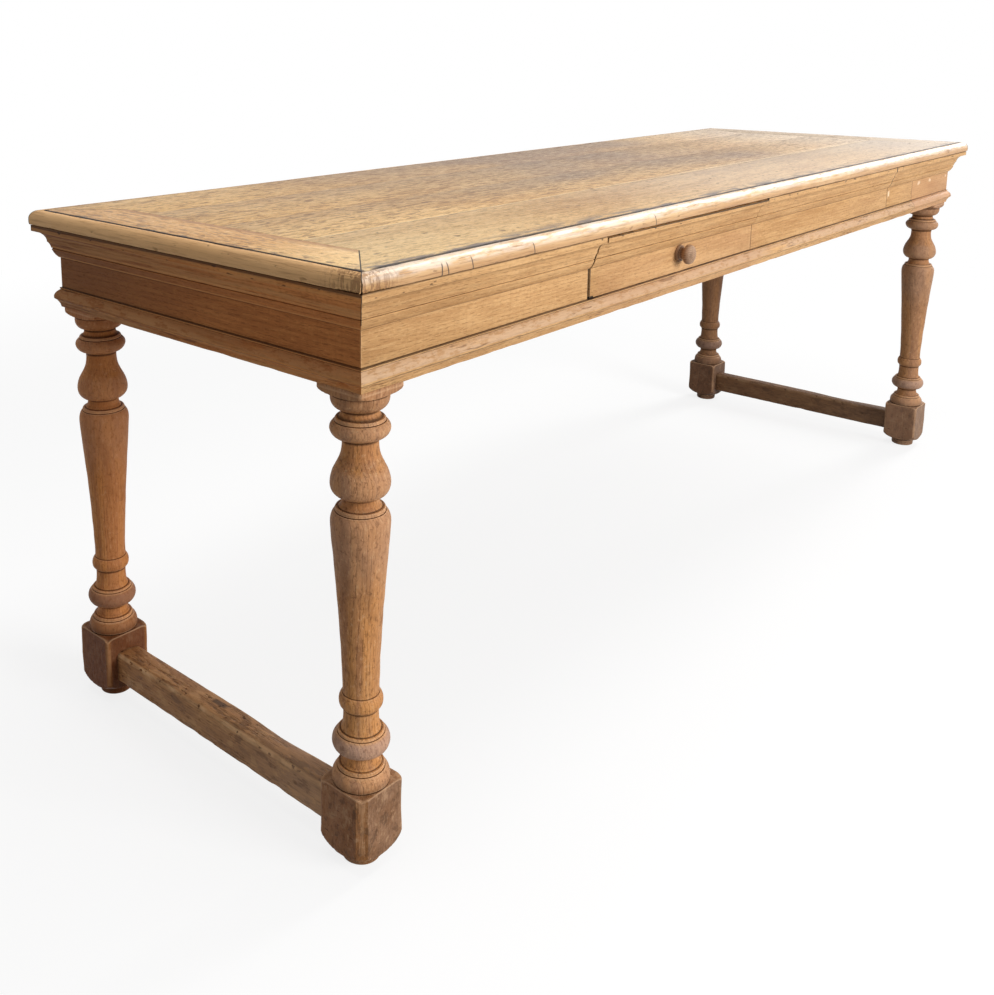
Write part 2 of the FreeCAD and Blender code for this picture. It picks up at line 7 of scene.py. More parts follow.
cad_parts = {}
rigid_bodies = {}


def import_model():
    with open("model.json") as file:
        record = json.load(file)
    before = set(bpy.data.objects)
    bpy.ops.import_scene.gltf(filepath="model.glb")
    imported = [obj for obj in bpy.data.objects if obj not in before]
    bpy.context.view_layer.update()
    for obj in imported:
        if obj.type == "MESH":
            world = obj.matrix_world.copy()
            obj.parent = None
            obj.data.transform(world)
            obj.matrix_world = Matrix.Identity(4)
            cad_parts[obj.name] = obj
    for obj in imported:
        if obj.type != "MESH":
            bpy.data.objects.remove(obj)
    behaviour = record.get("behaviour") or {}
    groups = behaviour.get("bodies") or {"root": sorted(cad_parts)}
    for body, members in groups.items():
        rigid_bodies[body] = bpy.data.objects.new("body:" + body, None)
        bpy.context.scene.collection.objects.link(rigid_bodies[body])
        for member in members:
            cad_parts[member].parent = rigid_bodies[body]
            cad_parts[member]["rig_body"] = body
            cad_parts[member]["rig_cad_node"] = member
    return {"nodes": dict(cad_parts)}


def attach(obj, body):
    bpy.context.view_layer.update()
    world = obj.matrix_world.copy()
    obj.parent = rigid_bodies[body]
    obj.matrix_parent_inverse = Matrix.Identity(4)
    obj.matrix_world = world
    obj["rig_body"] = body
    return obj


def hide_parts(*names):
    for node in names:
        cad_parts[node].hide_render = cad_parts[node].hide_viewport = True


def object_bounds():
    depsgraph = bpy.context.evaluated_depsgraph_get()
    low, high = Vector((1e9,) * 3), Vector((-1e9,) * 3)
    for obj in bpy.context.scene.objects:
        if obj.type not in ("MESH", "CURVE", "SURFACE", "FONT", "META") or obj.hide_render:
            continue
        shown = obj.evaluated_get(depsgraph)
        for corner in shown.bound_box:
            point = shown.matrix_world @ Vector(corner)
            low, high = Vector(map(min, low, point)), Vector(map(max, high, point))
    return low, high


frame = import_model()
solid_low, solid_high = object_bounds()


# Legs
# Four oak legs, each turned from one square blank: round foot, square block, base, beads, shaft and vase.
# The post above is left square and cut back where the apron boards lap over it.
class Shade:
    """A socket of a finish: sums and products of it add Math nodes, node() adds any other kind."""

    def __init__(self, tree, socket):
        self.tree = tree
        self.socket = socket

    def node(self, kind, settings, inputs, out=0):
        made = self.tree.nodes.new("ShaderNode" + kind)
        for key, value in settings.items():
            if key == "stops":
                ramp = made.color_ramp.elements
                for place, (position, colour) in enumerate(value):
                    stop = ramp[place] if place < 2 else ramp.new(position)
                    stop.position = position
                    stop.color = as_colour(colour)
            else:
                setattr(made, key, value)
        for key, value in inputs.items():
            if isinstance(value, Shade):
                self.tree.links.new(value.socket, made.inputs[key])
            else:
                made.inputs[key].default_value = value
        return Shade(self.tree, made.outputs[out])

    def math(self, operation, *others):
        return self.node("Math", {"operation": operation}, dict(enumerate((self, *others))))

    def __add__(self, other):
        return self.math("ADD", other)

    def __sub__(self, other):
        return self.math("SUBTRACT", other)

    def __rsub__(self, other):
        return self.math("MULTIPLY_ADD", -1.0, other)

    def __mul__(self, other):
        return self.math("MULTIPLY", other)

    def __truediv__(self, other):
        return self.math("DIVIDE", other)

    def __pow__(self, other):
        return self.math("POWER", other)

    def __gt__(self, other):
        return self.math("GREATER_THAN", other)

    def __abs__(self):
        return self.math("ABSOLUTE")

    __radd__ = __add__
    __rmul__ = __mul__

    def ease(self, low, high):
        """0 below low, 1 above high, and a soft step between; the other way round if low is the larger."""
        settings = {"interpolation_type": "SMOOTHSTEP"}
        if low < high:
            return self.node("MapRange", settings, {"Value": self, "From Min": low, "From Max": high})
        values = {"Value": self, "From Min": high, "From Max": low, "To Min": 1.0, "To Max": 0.0}
        return self.node("MapRange", settings, values)

    def band(self, middle, half, soft):
        """1 within half of the middle, falling to 0 over a soft edge."""
        return abs(self - middle).ease(half + soft, half)

    def lay(self, part, colour):
        """Lays another colour over this one, by a part that changes over the surface."""
        self.socket = mixed(part, self, colour).socket


def as_colour(value):
    """A socket as it is, or a colour as seen on a screen, 0 to 255, turned into one for a shader."""
    if isinstance(value, Shade):
        return value
    return (*(((part / 255 + 0.055) / 1.055) ** 2.4 for part in value), 1.0)


def mixed(part, first, second):
    """Two colours, the second over the first by a part from 0 to 1."""
    values = {0: part, 6: as_colour(first), 7: as_colour(second)}
    return part.node("Mix", {"data_type": "RGBA"}, values, 2)


def grainy(along, across, deep, scale, detail=2, rough=0.5):
    """Noise drawn out along the grain; scale is how many times it changes in a metre each way."""
    parts = {0: along * scale[0], 1: across * scale[1], 2: deep * scale[2]}
    place = along.node("CombineXYZ", {}, parts)
    return along.node("TexNoise", {}, {"Vector": place, "Scale": 1.0, "Detail": detail, "Roughness": rough})


def new_finish(name):
    """Starts a finish and gives the place on the piece as three socket values."""
    finish = bpy.data.materials.new(name)
    finish.use_nodes = True
    tree = finish.node_tree
    start = Shade(tree, tree.nodes["Principled BSDF"].outputs[0])
    place = start.node("TexCoord", {}, {}, 3)
    return finish, [start.node("SeparateXYZ", {}, {0: place}, axis) for axis in range(3)]


def oak(along, across, deep, ring, pith, dash=42.0):
    """Growth rings round a pith, open pores in their early wood, fibre and slow changes of tone."""
    sway = grainy(along, across, deep, (1.6, 9, 9))
    ripple = grainy(along, across, deep, (9, 55, 55))
    side, back = across + pith[0], deep + pith[1]
    reach = (side * side + back * back) ** 0.5 + sway * 0.022 + ripple * 0.0022
    phase = (reach / ring).math("FRACT")
    early = phase.ease(0.42, 0.02) + phase.ease(0.9, 1.0)
    fibre = grainy(along, across, deep, (14, 620, 620), 3, 0.6)
    dashes = grainy(along, across, deep, (dash, 760, 760), 1)
    pores = (dashes + early * 0.09).ease(0.6, 0.72)
    return {"sway": sway, "ripple": ripple, "early": early, "fibre": fibre, "pores": pores}


def oak_colour(grain, pale, middle, dark, pore, lines=0.34, depth=0.62):
    """Oak tones from the grain: slow change between pale and dark, ring lines, fibre, dark pores."""
    slow = grain["sway"] * 0.6 + grain["ripple"] * 0.25 + grain["fibre"] * 0.35
    ramp = {"stops": [(0.38, dark), (0.62, middle), (0.86, pale)]}
    wood = slow.node("ValToRGB", ramp, {0: slow})
    wood.lay(grain["early"] * lines, dark)
    wood.lay(grain["pores"] * depth, pore)
    return wood


def close_finish(finish, grain, colour, rough, relief, relief_depth, level=0.22):
    """Joins colour, roughness and relief to the finish, with pores sunk below the fibre."""
    shader = finish.node_tree.nodes["Principled BSDF"]
    links = finish.node_tree.links
    links.new(colour.socket, shader.inputs["Base Color"])
    links.new((rough + grain["pores"] * 0.16 + grain["fibre"] * 0.12).socket, shader.inputs["Roughness"])
    height = grain["fibre"] * 0.5 - grain["pores"] - grain["early"] * 0.25 + relief
    values = {"Height": height, "Strength": 0.55, "Distance": relief_depth}
    links.new(height.node("Bump", {}, values).socket, shader.inputs["Normal"])
    shader.inputs["Specular IOR Level"].default_value = level


def edge_of(start):
    """How sharply the piece turns at a place, stored as it was shaped."""
    return start.node("Attribute", {"attribute_name": "edge"}, {}, 2)


def object_mode():
    """Leaves editing and drops every selection."""
    if bpy.context.mode != "OBJECT":
        bpy.ops.object.mode_set(mode="OBJECT")
    bpy.ops.object.select_all(action="DESELECT")


def pick(piece):
    """Makes a piece the only one selected."""
    object_mode()
    piece.select_set(True)
    bpy.context.view_layer.objects.active = piece


def copy_of(source, name):
    """A copy of a piece, under a name of its own."""
    pick(source)
    bpy.ops.object.duplicate()
    piece = bpy.context.object
    piece.name = piece.data.name = name
    return piece


def coat(piece, material):
    """Gives a piece one material in place of any it had."""
    piece.data.materials.clear()
    piece.data.materials.append(material)


def turns_of(steps):
    """How sharply an outline turns at each step: above 0 on an edge, below 0 in a hollow."""
    bends = [0.0]
    for before, here, after in zip(steps, steps[1:], steps[2:]):
        first = Vector((here[0] - before[0], here[1] - before[1]))
        second = Vector((after[0] - here[0], after[1] - here[1]))
        bend = first.angle_signed(second, 0.0) if first.length * second.length > 1e-12 else 0.0
        bends.append(max(-1.0, min(1.0, -bend / 0.9)))
    return bends + [0.0]


def smooth_run(points, spacing):
    """A rounded line through a few points, cut into short steps."""
    ends = [points[0], *points, points[-1]]
    steps = []
    for a, b, c, d in zip(ends, ends[1:], ends[2:], ends[3:]):
        count = max(1, round(math.dist(b, c) / spacing))
        for place in range(count):
            t = place / count
            steps.append(tuple(
                0.5 * (2 * q + (r - p) * t + (2 * p - 5 * q + 4 * r - s) * t * t
                       + (3 * q - p - 3 * r + s) * t ** 3)
                for p, q, r, s in zip(a, b, c, d)
            ))
    return steps + [points[-1]]


def turn_piece(name, runs_mm, spacing_mm, sides):
    """Draws a disc up through rounded runs of radius and height, as a lathe would leave it."""
    object_mode()
    points_mm = [point for run in runs_mm for point in smooth_run(run, spacing_mm)]
    steps = [(radius / 1000, height / 1000) for radius, height in points_mm]
    first = steps[0]
    bpy.ops.mesh.primitive_circle_add(
        vertices=sides, radius=first[0], fill_type="NGON", location=(0, 0, first[1]),
    )
    piece = bpy.context.object
    piece.name = piece.data.name = name
    bpy.ops.object.transform_apply(location=True)
    bpy.ops.object.mode_set(mode="EDIT")
    bpy.ops.mesh.select_all(action="SELECT")
    for (radius, height), (next_radius, next_height) in zip(steps, steps[1:]):
        bpy.ops.mesh.extrude_region_move(
            TRANSFORM_OT_translate={"value": (0, 0, next_height - height)},
        )
        widen = next_radius / radius
        bpy.ops.transform.resize(value=(widen, widen, 1), center_override=(0, 0, next_height))
    bpy.ops.mesh.select_all(action="SELECT")
    bpy.ops.mesh.normals_make_consistent(inside=False)
    object_mode()
    edge = piece.data.attributes.new("edge", "FLOAT", "POINT")
    for place, bend in enumerate(turns_of(steps)):
        for point in range(place * sides, (place + 1) * sides):
            edge.data[point].value = bend
    return piece


def finish_piece(piece, material, slot, body, *nodes, turn=0):
    """Turns a finished piece to its side, gives it its material and sets it on its body."""
    piece.data.transform(Matrix.Rotation(turn * math.pi / 2, 4, "Z"))
    pick(piece)
    bpy.ops.object.shade_smooth_by_angle(angle=smooth_angle)
    coat(piece, material)
    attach(piece, body)
    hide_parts(*nodes)


nosing_overhang, leg_half = 0.031, 0.0375
frame_half = [high - nosing_overhang for high in solid_high[:2]]
leg_axis = [half - leg_half for half in frame_half]
leg_places = {
    "front_left": (-1, -1, 0), "front_right": (1, -1, 1), "back_right": (1, 1, 2), "back_left": (-1, 1, 3),
}
block_top, worn_corner, apron_low, apron_wood = 0.107, 0.0635, 0.622, 0.022
corner_rub, rub_change, dent_depth, slow_dent = 0.0048, 0.0026, 0.0005, 0.0004
ring_middle, cap_foot, shaft_top = 0.161, 0.586, 0.4
hair, smooth_angle = 0.0001, 0.6
leg_runs_mm = [
    [(22.5, 0), (24.4, 1.2), (25, 3.5), (25, 10.5), (24.4, 12)],
    [(22.8, 12.6), (22.8, 14.4)],
    [(25, 15), (33, 16.6), (41, 20), (48, 26), (52.5, 34), (53.2, 42)],
    [(53.2, 60), (53.2, 80), (53.2, 98), (52.8, 105.6), (51.4, 107)],
    [(36.6, 107), (35.6, 107.3), (35.6, 108.4), (36.6, 108.7)],
    [(37, 110), (37, 114), (36, 119), (33.6, 123.2), (31, 125.6)],
    [(29.9, 125.4), (29.6, 126.2)],
    [(30.2, 126.8), (30, 128.8), (29, 130.6)],
    [(26.6, 130.8), (23.8, 134), (22.2, 139), (22, 143), (22.8, 146.5)],
    [(24.6, 147.6), (30.4, 150), (34.6, 154.6), (36.6, 161), (35.6, 167), (33, 171.2), (30.8, 173)],
    [(29.8, 172.9), (29.5, 173.7)],
    [(30, 174.2), (29.7, 175.4), (28.6, 176.6)],
    [(26, 176.8), (23.9, 181), (22.7, 191), (22.6, 203), (23.4, 206.4)],
    [(24.6, 207), (26.9, 210), (27.8, 214), (27.8, 218), (26.7, 222), (24.6, 225.4)],
    [(23.3, 226), (23.2, 240), (24.2, 268), (25.4, 292), (27.1, 320), (29.4, 352), (31.8, 383),
     (34.1, 410), (36.6, 440), (37.1, 449), (36.7, 454), (35.4, 458.6), (33.4, 462), (32.2, 463.2)],
    [(31.2, 463), (30.9, 463.8)],
    [(31.4, 464.4), (31.2, 466), (30, 468)],
    [(27.2, 468.2), (24.6, 471.4), (23.2, 475.5), (22.9, 479), (23.2, 481.4)],
    [(24.6, 482), (29.4, 483.4), (33.4, 487), (36, 491.6), (37.1, 497.6), (36.4, 504.6), (33.9, 513),
     (29.8, 521), (26.2, 528), (23.7, 535), (22.6, 543), (22.4, 549), (22.8, 552.6)],
    [(24.6, 554.2), (30.2, 556.2), (34.6, 560.2), (36.9, 566), (35.8, 571), (33.4, 574), (31.8, 575)],
    [(30.8, 574.9), (30.5, 575.7)],
    [(31, 576.2), (30.8, 577.8), (29.6, 579.5)],
    [(27, 579.7), (24.6, 582.6), (23.3, 586.6), (23.2, 589)],
    [(24.8, 590.2), (29.6, 592), (33.2, 595.6), (35.2, 599.6), (36, 604), (36, 609.6)],
    [(37.4, 610.2), (43, 611.2), (49, 613.6), (53.2, 617.5)],
    [(53.2, 622), (53.2, 622.05), (53.2, 660), (53.2, 746)],
]
first_leg = turn_piece("leg_turning", leg_runs_mm, 2.6, 96)
wear = first_leg.data.attributes["edge"].data
for point in first_leg.data.vertices:
    x, y, z = point.co
    radius = math.hypot(x, y)
    flat_x = max(-leg_half, min(leg_half, x))
    flat_y = max(-leg_half, min(leg_half, y))
    if radius > leg_half + hair:
        rub = corner_rub + rub_change * noise.noise((x * 20, y * 20, z * 24 + 3.0))
        over = Vector((abs(flat_x), abs(flat_y))) - Vector((leg_half - rub, leg_half - rub))
        if min(over) > 0 and over.length > rub:
            over = over.normalized() * rub
            flat_x = math.copysign(leg_half - rub + over.x, flat_x)
            flat_y = math.copysign(leg_half - rub + over.y, flat_y)
            wear[point.index].value = max(wear[point.index].value, 0.55)
    if 0.1 < z < block_top + hair:
        cornered = max(0.0, min(abs(flat_x), abs(flat_y)) / leg_half - 0.68)
        z -= 0.05 * cornered * cornered
    if z > apron_low + hair / 5:
        flat_x = max(flat_x, -leg_half + apron_wood)
        flat_y = max(flat_y, -leg_half + apron_wood)
    dent = noise.noise((x * 46, y * 46, z * 46)) * dent_depth
    dent += noise.noise((x * 13, y * 13, z * 9)) * slow_dent
    inward = Vector((flat_x, flat_y, 0)).normalized() * (dent - 0.0003)
    point.co = (flat_x + inward.x, flat_y + inward.y, z)
leg_oak, (x, y, z) = new_finish("leg_oak")
local_x = x - x.math("SIGN") * leg_axis[0]
local_y = y - y.math("SIGN") * leg_axis[1]
offset = x.math("SIGN") * 0.37 + y.math("SIGN") * 0.21
grain = oak(z + offset, local_x + offset * 0.13, local_y, 0.0042, (0.034, 0.021), 64)
edge = edge_of(x)
hollow, rubbed = edge.ease(-0.12, -0.75), edge.ease(0.25, 0.9)
tones = ((220, 166, 110), (194, 138, 88), (152, 100, 60), (84, 52, 30))
wood = oak_colour(grain, *tones, 0.3, 0.42)
streaks = grainy(z + offset, local_x, local_y, (1.4, 46, 46))
wood.lay(streaks.ease(0.47, 0.53) * 0.4, (204, 140, 78))
wood.lay(streaks.ease(0.46, 0.4) * 0.45, (150, 104, 76))
grime = grainy(z, local_x, local_y, (16, 26, 26), 4, 0.62)
specks = grainy(z, local_x, local_y, (120, 210, 210), 3, 0.7)
reach = (local_x * local_x + local_y * local_y) ** 0.5
handled = reach.ease(0.0285, 0.0345) * z.ease(0.1, 0.115)
wood.lay(handled * (0.15 + grime * 0.55), (186, 146, 118))
wood.lay(handled * z.band(ring_middle, 0.01, 0.004) * 0.5, (172, 144, 132))
wood.lay(z.ease(cap_foot, cap_foot + 0.006) * 0.4, (150, 102, 62))
slender = reach.ease(0.0265, 0.0235) * z.ease(shaft_top, shaft_top + 0.04)
wood.lay(slender * 0.3, (194, 128, 70))
# Painted shade: each turning is laid over in a darker grey brown on the side that faces front right.
painted_shade_front_right = ((local_x - local_y) / reach).ease(0.5, 1.3) * z.ease(0.2, 0.24)
wood.lay(painted_shade_front_right * 0.3, (148, 112, 88))
low_down = z.ease(block_top + 0.015, block_top - 0.003)
block_tone = mixed(grime.ease(0.4, 0.6), (108, 70, 42), (146, 108, 80))
wood.lay(low_down * 0.82, block_tone)
on_face = (leg_half - 0.0013, leg_half - 0.0003)
sideways = abs(local_x).ease(*on_face) * low_down
wood.lay(sideways * 0.5, (154, 104, 70))
outward = local_x * x.math("SIGN") + local_y * y.math("SIGN")
wood.lay(outward.ease(0.061, 0.064) * low_down * 0.42, (152, 104, 60))
frontways = abs(local_y).ease(*on_face) * low_down
wood.lay(frontways * 0.4, (120, 98, 82))
blotches = grainy(z, local_x, local_y, (52, 60, 60), 4, 0.66)
wood.lay(blotches.ease(0.53, 0.62) * low_down * 0.6, (84, 58, 40))
wood.lay(blotches.ease(0.46, 0.36) * low_down * 0.5, (186, 148, 114))
wood.lay(specks.ease(0.55, 0.66) * 0.45, (100, 64, 40))
wood.lay(specks.ease(0.44, 0.34) * (0.3 - low_down * 0.2), (226, 184, 140))
wood.lay(grime.ease(0.55, 0.72) * 0.4, (124, 84, 54))
at_back, at_right = y.ease(-0.01, 0.01), x.ease(-0.01, 0.01)
at_left_back = at_back * (1 - at_right)
# Painted shade on the back left leg: darker and redder above its block, darker still low on the turning and
# on the block.
wood.lay(at_left_back * (1 - low_down) * 0.36, (190, 104, 36))
wood.lay(at_left_back * handled * z.ease(0.21, 0.19) * 0.4, (92, 58, 32))
wood.lay(at_left_back * low_down * 0.66, (96, 42, 4))
corners = (abs(local_x) + abs(local_y)).ease(0.0665, 0.0705) * low_down
wood.lay(corners * at_left_back * 0.5, (170, 112, 60))
# Painted shade on the back right leg: a dark grey brown over all of it.
wood.lay(at_back * at_right * 0.62, (88, 67, 55))
wood.lay((1 - at_back) * at_right * (0.25 + low_down * 0.2), (142, 118, 100))
wood.lay(rubbed * (0.15 + grime * 0.5), (222, 178, 138))
wood.lay(hollow * 0.78, (52, 32, 20))
scratches = grainy(local_x + local_y, z, local_y - local_x, (30, 320, 90)).ease(0.66, 0.74)
wood.lay(scratches * (0.2 + low_down * 0.4), (66, 42, 28))
relief = grime * 0.8 + specks * 0.6 - scratches * 0.8
close_finish(leg_oak, grain, wood, 0.46 + hollow * 0.2 - rubbed * 0.05, relief, 0.0011, 0.1)
for corner, (side_x, side_y, quarter) in leg_places.items():
    leg = copy_of(first_leg, "turned_leg_" + corner)
    if corner == "front_left":
        for point in leg.data.vertices:
            past = -point.co.x - point.co.y - worn_corner
            if past > 0 and point.co.z < block_top + hair:
                point.co += Vector((past / 2, past / 2, 0))
    leg.data.transform(Matrix.Rotation(quarter * math.pi / 2, 4, "Z"))
    leg.data.transform(Matrix.Translation((side_x * leg_axis[0], side_y * leg_axis[1], 0)))
    finish_piece(leg, leg_oak, "oak_leg", "frame", "leg_" + corner)
bpy.data.objects.remove(first_leg)


# Stretchers
# A low oak rail at each end, let into the leg blocks; the top arrises are worn and chipped by feet.
def draw_strip(name, outline, stations, mitre_start=False, mitre_end=False):
    """Draws a section, given as distance out and height, along +X from station to station."""
    object_mode()
    count = len(outline)
    bpy.ops.mesh.primitive_circle_add(vertices=count, fill_type="NGON")
    piece = bpy.context.object
    piece.name = piece.data.name = name
    for point, (out, height) in zip(piece.data.vertices, outline):
        point.co = (stations[0], -out, height)
    bpy.ops.object.mode_set(mode="EDIT")
    bpy.ops.mesh.select_all(action="SELECT")
    for here, following in zip(stations, stations[1:]):
        bpy.ops.mesh.extrude_region_move(TRANSFORM_OT_translate={"value": (following - here, 0, 0)})
    bpy.ops.mesh.select_all(action="SELECT")
    bpy.ops.mesh.normals_make_consistent(inside=False)
    object_mode()
    bends = turns_of([outline[-1], *outline, outline[0]])[1:-1]
    winding = sum(a[0] * b[1] - b[0] * a[1] for a, b in zip(outline, outline[1:] + outline[:1]))
    edge = piece.data.attributes.new("edge", "FLOAT", "POINT")
    points = piece.data.vertices
    for point in points:
        spot = (-point.co.y, point.co.z)
        nearest = min(range(count), key=lambda place: math.dist(spot, outline[place]))
        edge.data[point.index].value = bends[nearest] * (1 if winding > 0 else -1)
    for point in points:
        if mitre_start and abs(point.co.x - stations[0]) < 1e-5:
            point.co.x += point.co.y
        elif mitre_end and abs(point.co.x - stations[-1]) < 1e-5:
            point.co.x -= point.co.y
    return piece


def evenly(start, end, spacing):
    """Stations from start to end, about a spacing apart."""
    count = max(1, round((end - start) / spacing))
    return [start + (end - start) * place / count for place in range(count + 1)]


def rub_arrises(piece, wave, chip, seed, sunk=0.0):
    """Lets a strip wander a little and knocks small chips out of its sharp edges."""
    edge = piece.data.attributes["edge"].data
    middle = sum((point.co for point in piece.data.vertices), Vector()) / len(piece.data.vertices)
    for point in piece.data.vertices:
        spot = point.co
        along = spot.x + seed
        drift = noise.noise((along * 2.3, spot.y * 9, spot.z * 9 + seed)) * wave - sunk
        sharp = max(0.0, edge[point.index].value)
        knock = max(0.0, noise.noise((along * 34, spot.y * 60, spot.z * 60 + seed)) - 0.12) * chip * sharp
        inward = Vector((0, middle.y - spot.y, middle.z - spot.z)).normalized()
        point.co = spot + inward * (knock - drift)


block_face, rail_side, rail_middle, rail_top = leg_axis[1] - leg_half, 0.021, 0.055, 0.081
rail_half = block_face + 0.0055
stretcher_oak, (x, y, z) = new_finish("stretcher_oak")
local_x = x - x.math("SIGN") * leg_axis[0]
grain = oak(y + x * 0.3, local_x, z, 0.0046, (0.05, 0.07))
tones = ((214, 164, 112), (186, 136, 90), (144, 98, 62), (66, 42, 26))
wood = oak_colour(grain, *tones, 0.3, 0.45)
grime = grainy(y, local_x, z, (10, 34, 34), 4, 0.65)
wood.lay(grime.ease(0.48, 0.68) * 0.55, (112, 74, 46))
on_top = z.ease(rail_top - 0.0065, rail_top - 0.002)
gouges = grainy(y, local_x, z, (18, 80, 80), 3, 0.6).ease(0.54, 0.62)
wood.lay(gouges * (0.18 + on_top * 0.4), (84, 54, 32))
pits = grainy(y, local_x, z, (70, 110, 110)).ease(0.64, 0.7)
wood.lay(pits * (0.3 + on_top * 0.4), (54, 33, 20))
arris = abs(local_x).ease(rail_side - 0.0052, rail_side - 0.0026) * (1 - pits)
arris = arris * z.ease(rail_top - 0.0075, rail_top - 0.0045)
chipped = grainy(y, local_x, z, (20, 20, 20), 3, 0.6)
wood.lay(y.ease(0.0, -0.2) * 0.34, (200, 164, 134))
wood.lay(y.ease(0.0, 0.2) * 0.3, (150, 92, 40))
stains = grainy(y + 0.4, local_x, z, (24, 52, 52), 4, 0.66)
wood.lay(stains.ease(0.53, 0.62) * 0.5, (82, 52, 30))
wood.lay(stains.ease(0.46, 0.37) * 0.45, (212, 164, 114))
wood.lay(arris * (0.3 + chipped.ease(0.42, 0.56) * 0.5), (226, 182, 136))
gouge = (y + chipped * 0.02).band(0.022, 0.01, 0.01) * on_top
gouge = gouge * (local_x + chipped * 0.01).band(0.008, 0.003, 0.004)
wood.lay(gouge * x.ease(0.1, -0.1) * 0.8, (58, 37, 23))
at_block = abs(y).ease(block_face - 0.007, block_face + 0.0005)
wood.lay(at_block * 0.6, (56, 36, 24))
# Painted shade on the right stretcher: a dark brown over all of it.
wood.lay(x.ease(-0.01, 0.01) * 0.7, (70, 48, 34))
relief = grime * 0.8 - pits * 1.5 - gouges * on_top * 2.0
close_finish(stretcher_oak, grain, wood, 0.5 + pits * 0.2, relief, 0.0013)
worn_from, worn_width, worn_deep = 0.002, 0.019, 0.0035
heel_place, heel_reach, heel_deep = -0.11, 0.055, 0.005
rail_mm = [
    (-21, 36), (-19.6, 34), (19.6, 34), (21, 36), (21, 50), (21, 64), (20.8, 74), (19.4, 78), (16.6, 80.4),
    (12, 81), (0, 81), (-12, 81), (-16.6, 80.4), (-19.4, 78), (-20.8, 74), (-21, 64), (-21, 50),
]
rail_outline = [(out / 1000, height / 1000) for out, height in rail_mm]
for side, name in ((-1, "left"), (1, "right")):
    rail = draw_strip("end_stretcher_" + name, rail_outline, evenly(-rail_half, rail_half, 0.005))
    rub_arrises(rail, 0.0008, 0.0026, 4.0 + side)
    for point in rail.data.vertices:
        inner = max(0.0, (-point.co.y - worn_from) / worn_width)
        inner *= max(0.0, (point.co.z - rail_middle) / (rail_top - rail_middle))
        heel = math.exp(-((point.co.x - heel_place) / heel_reach) ** 2)
        point.co.z -= inner * (worn_deep + heel_deep * heel)
    rail.data.transform(Matrix.Rotation(math.pi / 2, 4, "Z"))
    rail.data.transform(Matrix.Translation((side * leg_axis[0], 0, 0)))
    finish_piece(rail, stretcher_oak, "oak_leg", "frame", "stretcher_" + name)
coat(frame["nodes"]["stretcher_pegs"], leg_oak)


# Apron boards
# Oak boards mitred at the corners, the front one in two lengths with a patch let in at the right.
# Waxed, with filler in old holes, faint saw lines and arrises eased by hand.
nose_low, nose_middle, mould_top, cornice_foot = 0.6335, 0.6435, 0.652, 0.697
cornice_groove, band_foot = 0.7105, 0.737
drawer_left, drawer_right, drawer_base = -0.572, -0.056, 0.6526
drawer_middle, drawer_half = (drawer_left + drawer_right) / 2, (drawer_right - drawer_left) / 2
drawer_gap = drawer_left - 0.0017
splice, patch_left, notch_place = 0.617, 0.779, 0.583
big_hole, hole_row, hole_widths = (0.6325, 0.688), 0.694, {0.831: 0.006, 0.909: 0.005, 1.026: 0.003}


def eased_copy(node, name, easing):
    """A copy of a board whose arrises are taken off by a fine bevel."""
    piece = copy_of(frame["nodes"][node], name)
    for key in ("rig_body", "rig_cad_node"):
        del piece[key]
    piece.parent = None
    bpy.ops.object.mode_set(mode="EDIT")
    bpy.ops.mesh.select_all(action="SELECT")
    bpy.ops.mesh.remove_doubles(threshold=0.00002)
    bpy.ops.mesh.dissolve_limited(angle_limit=0.02)
    bpy.ops.object.mode_set(mode="OBJECT")
    bevel = piece.modifiers.new("easing", "BEVEL")
    bevel.width = easing
    bevel.segments = 2
    bevel.limit_method = "ANGLE"
    bevel.angle_limit = smooth_angle
    bpy.ops.object.modifier_apply(modifier=bevel.name)
    return piece


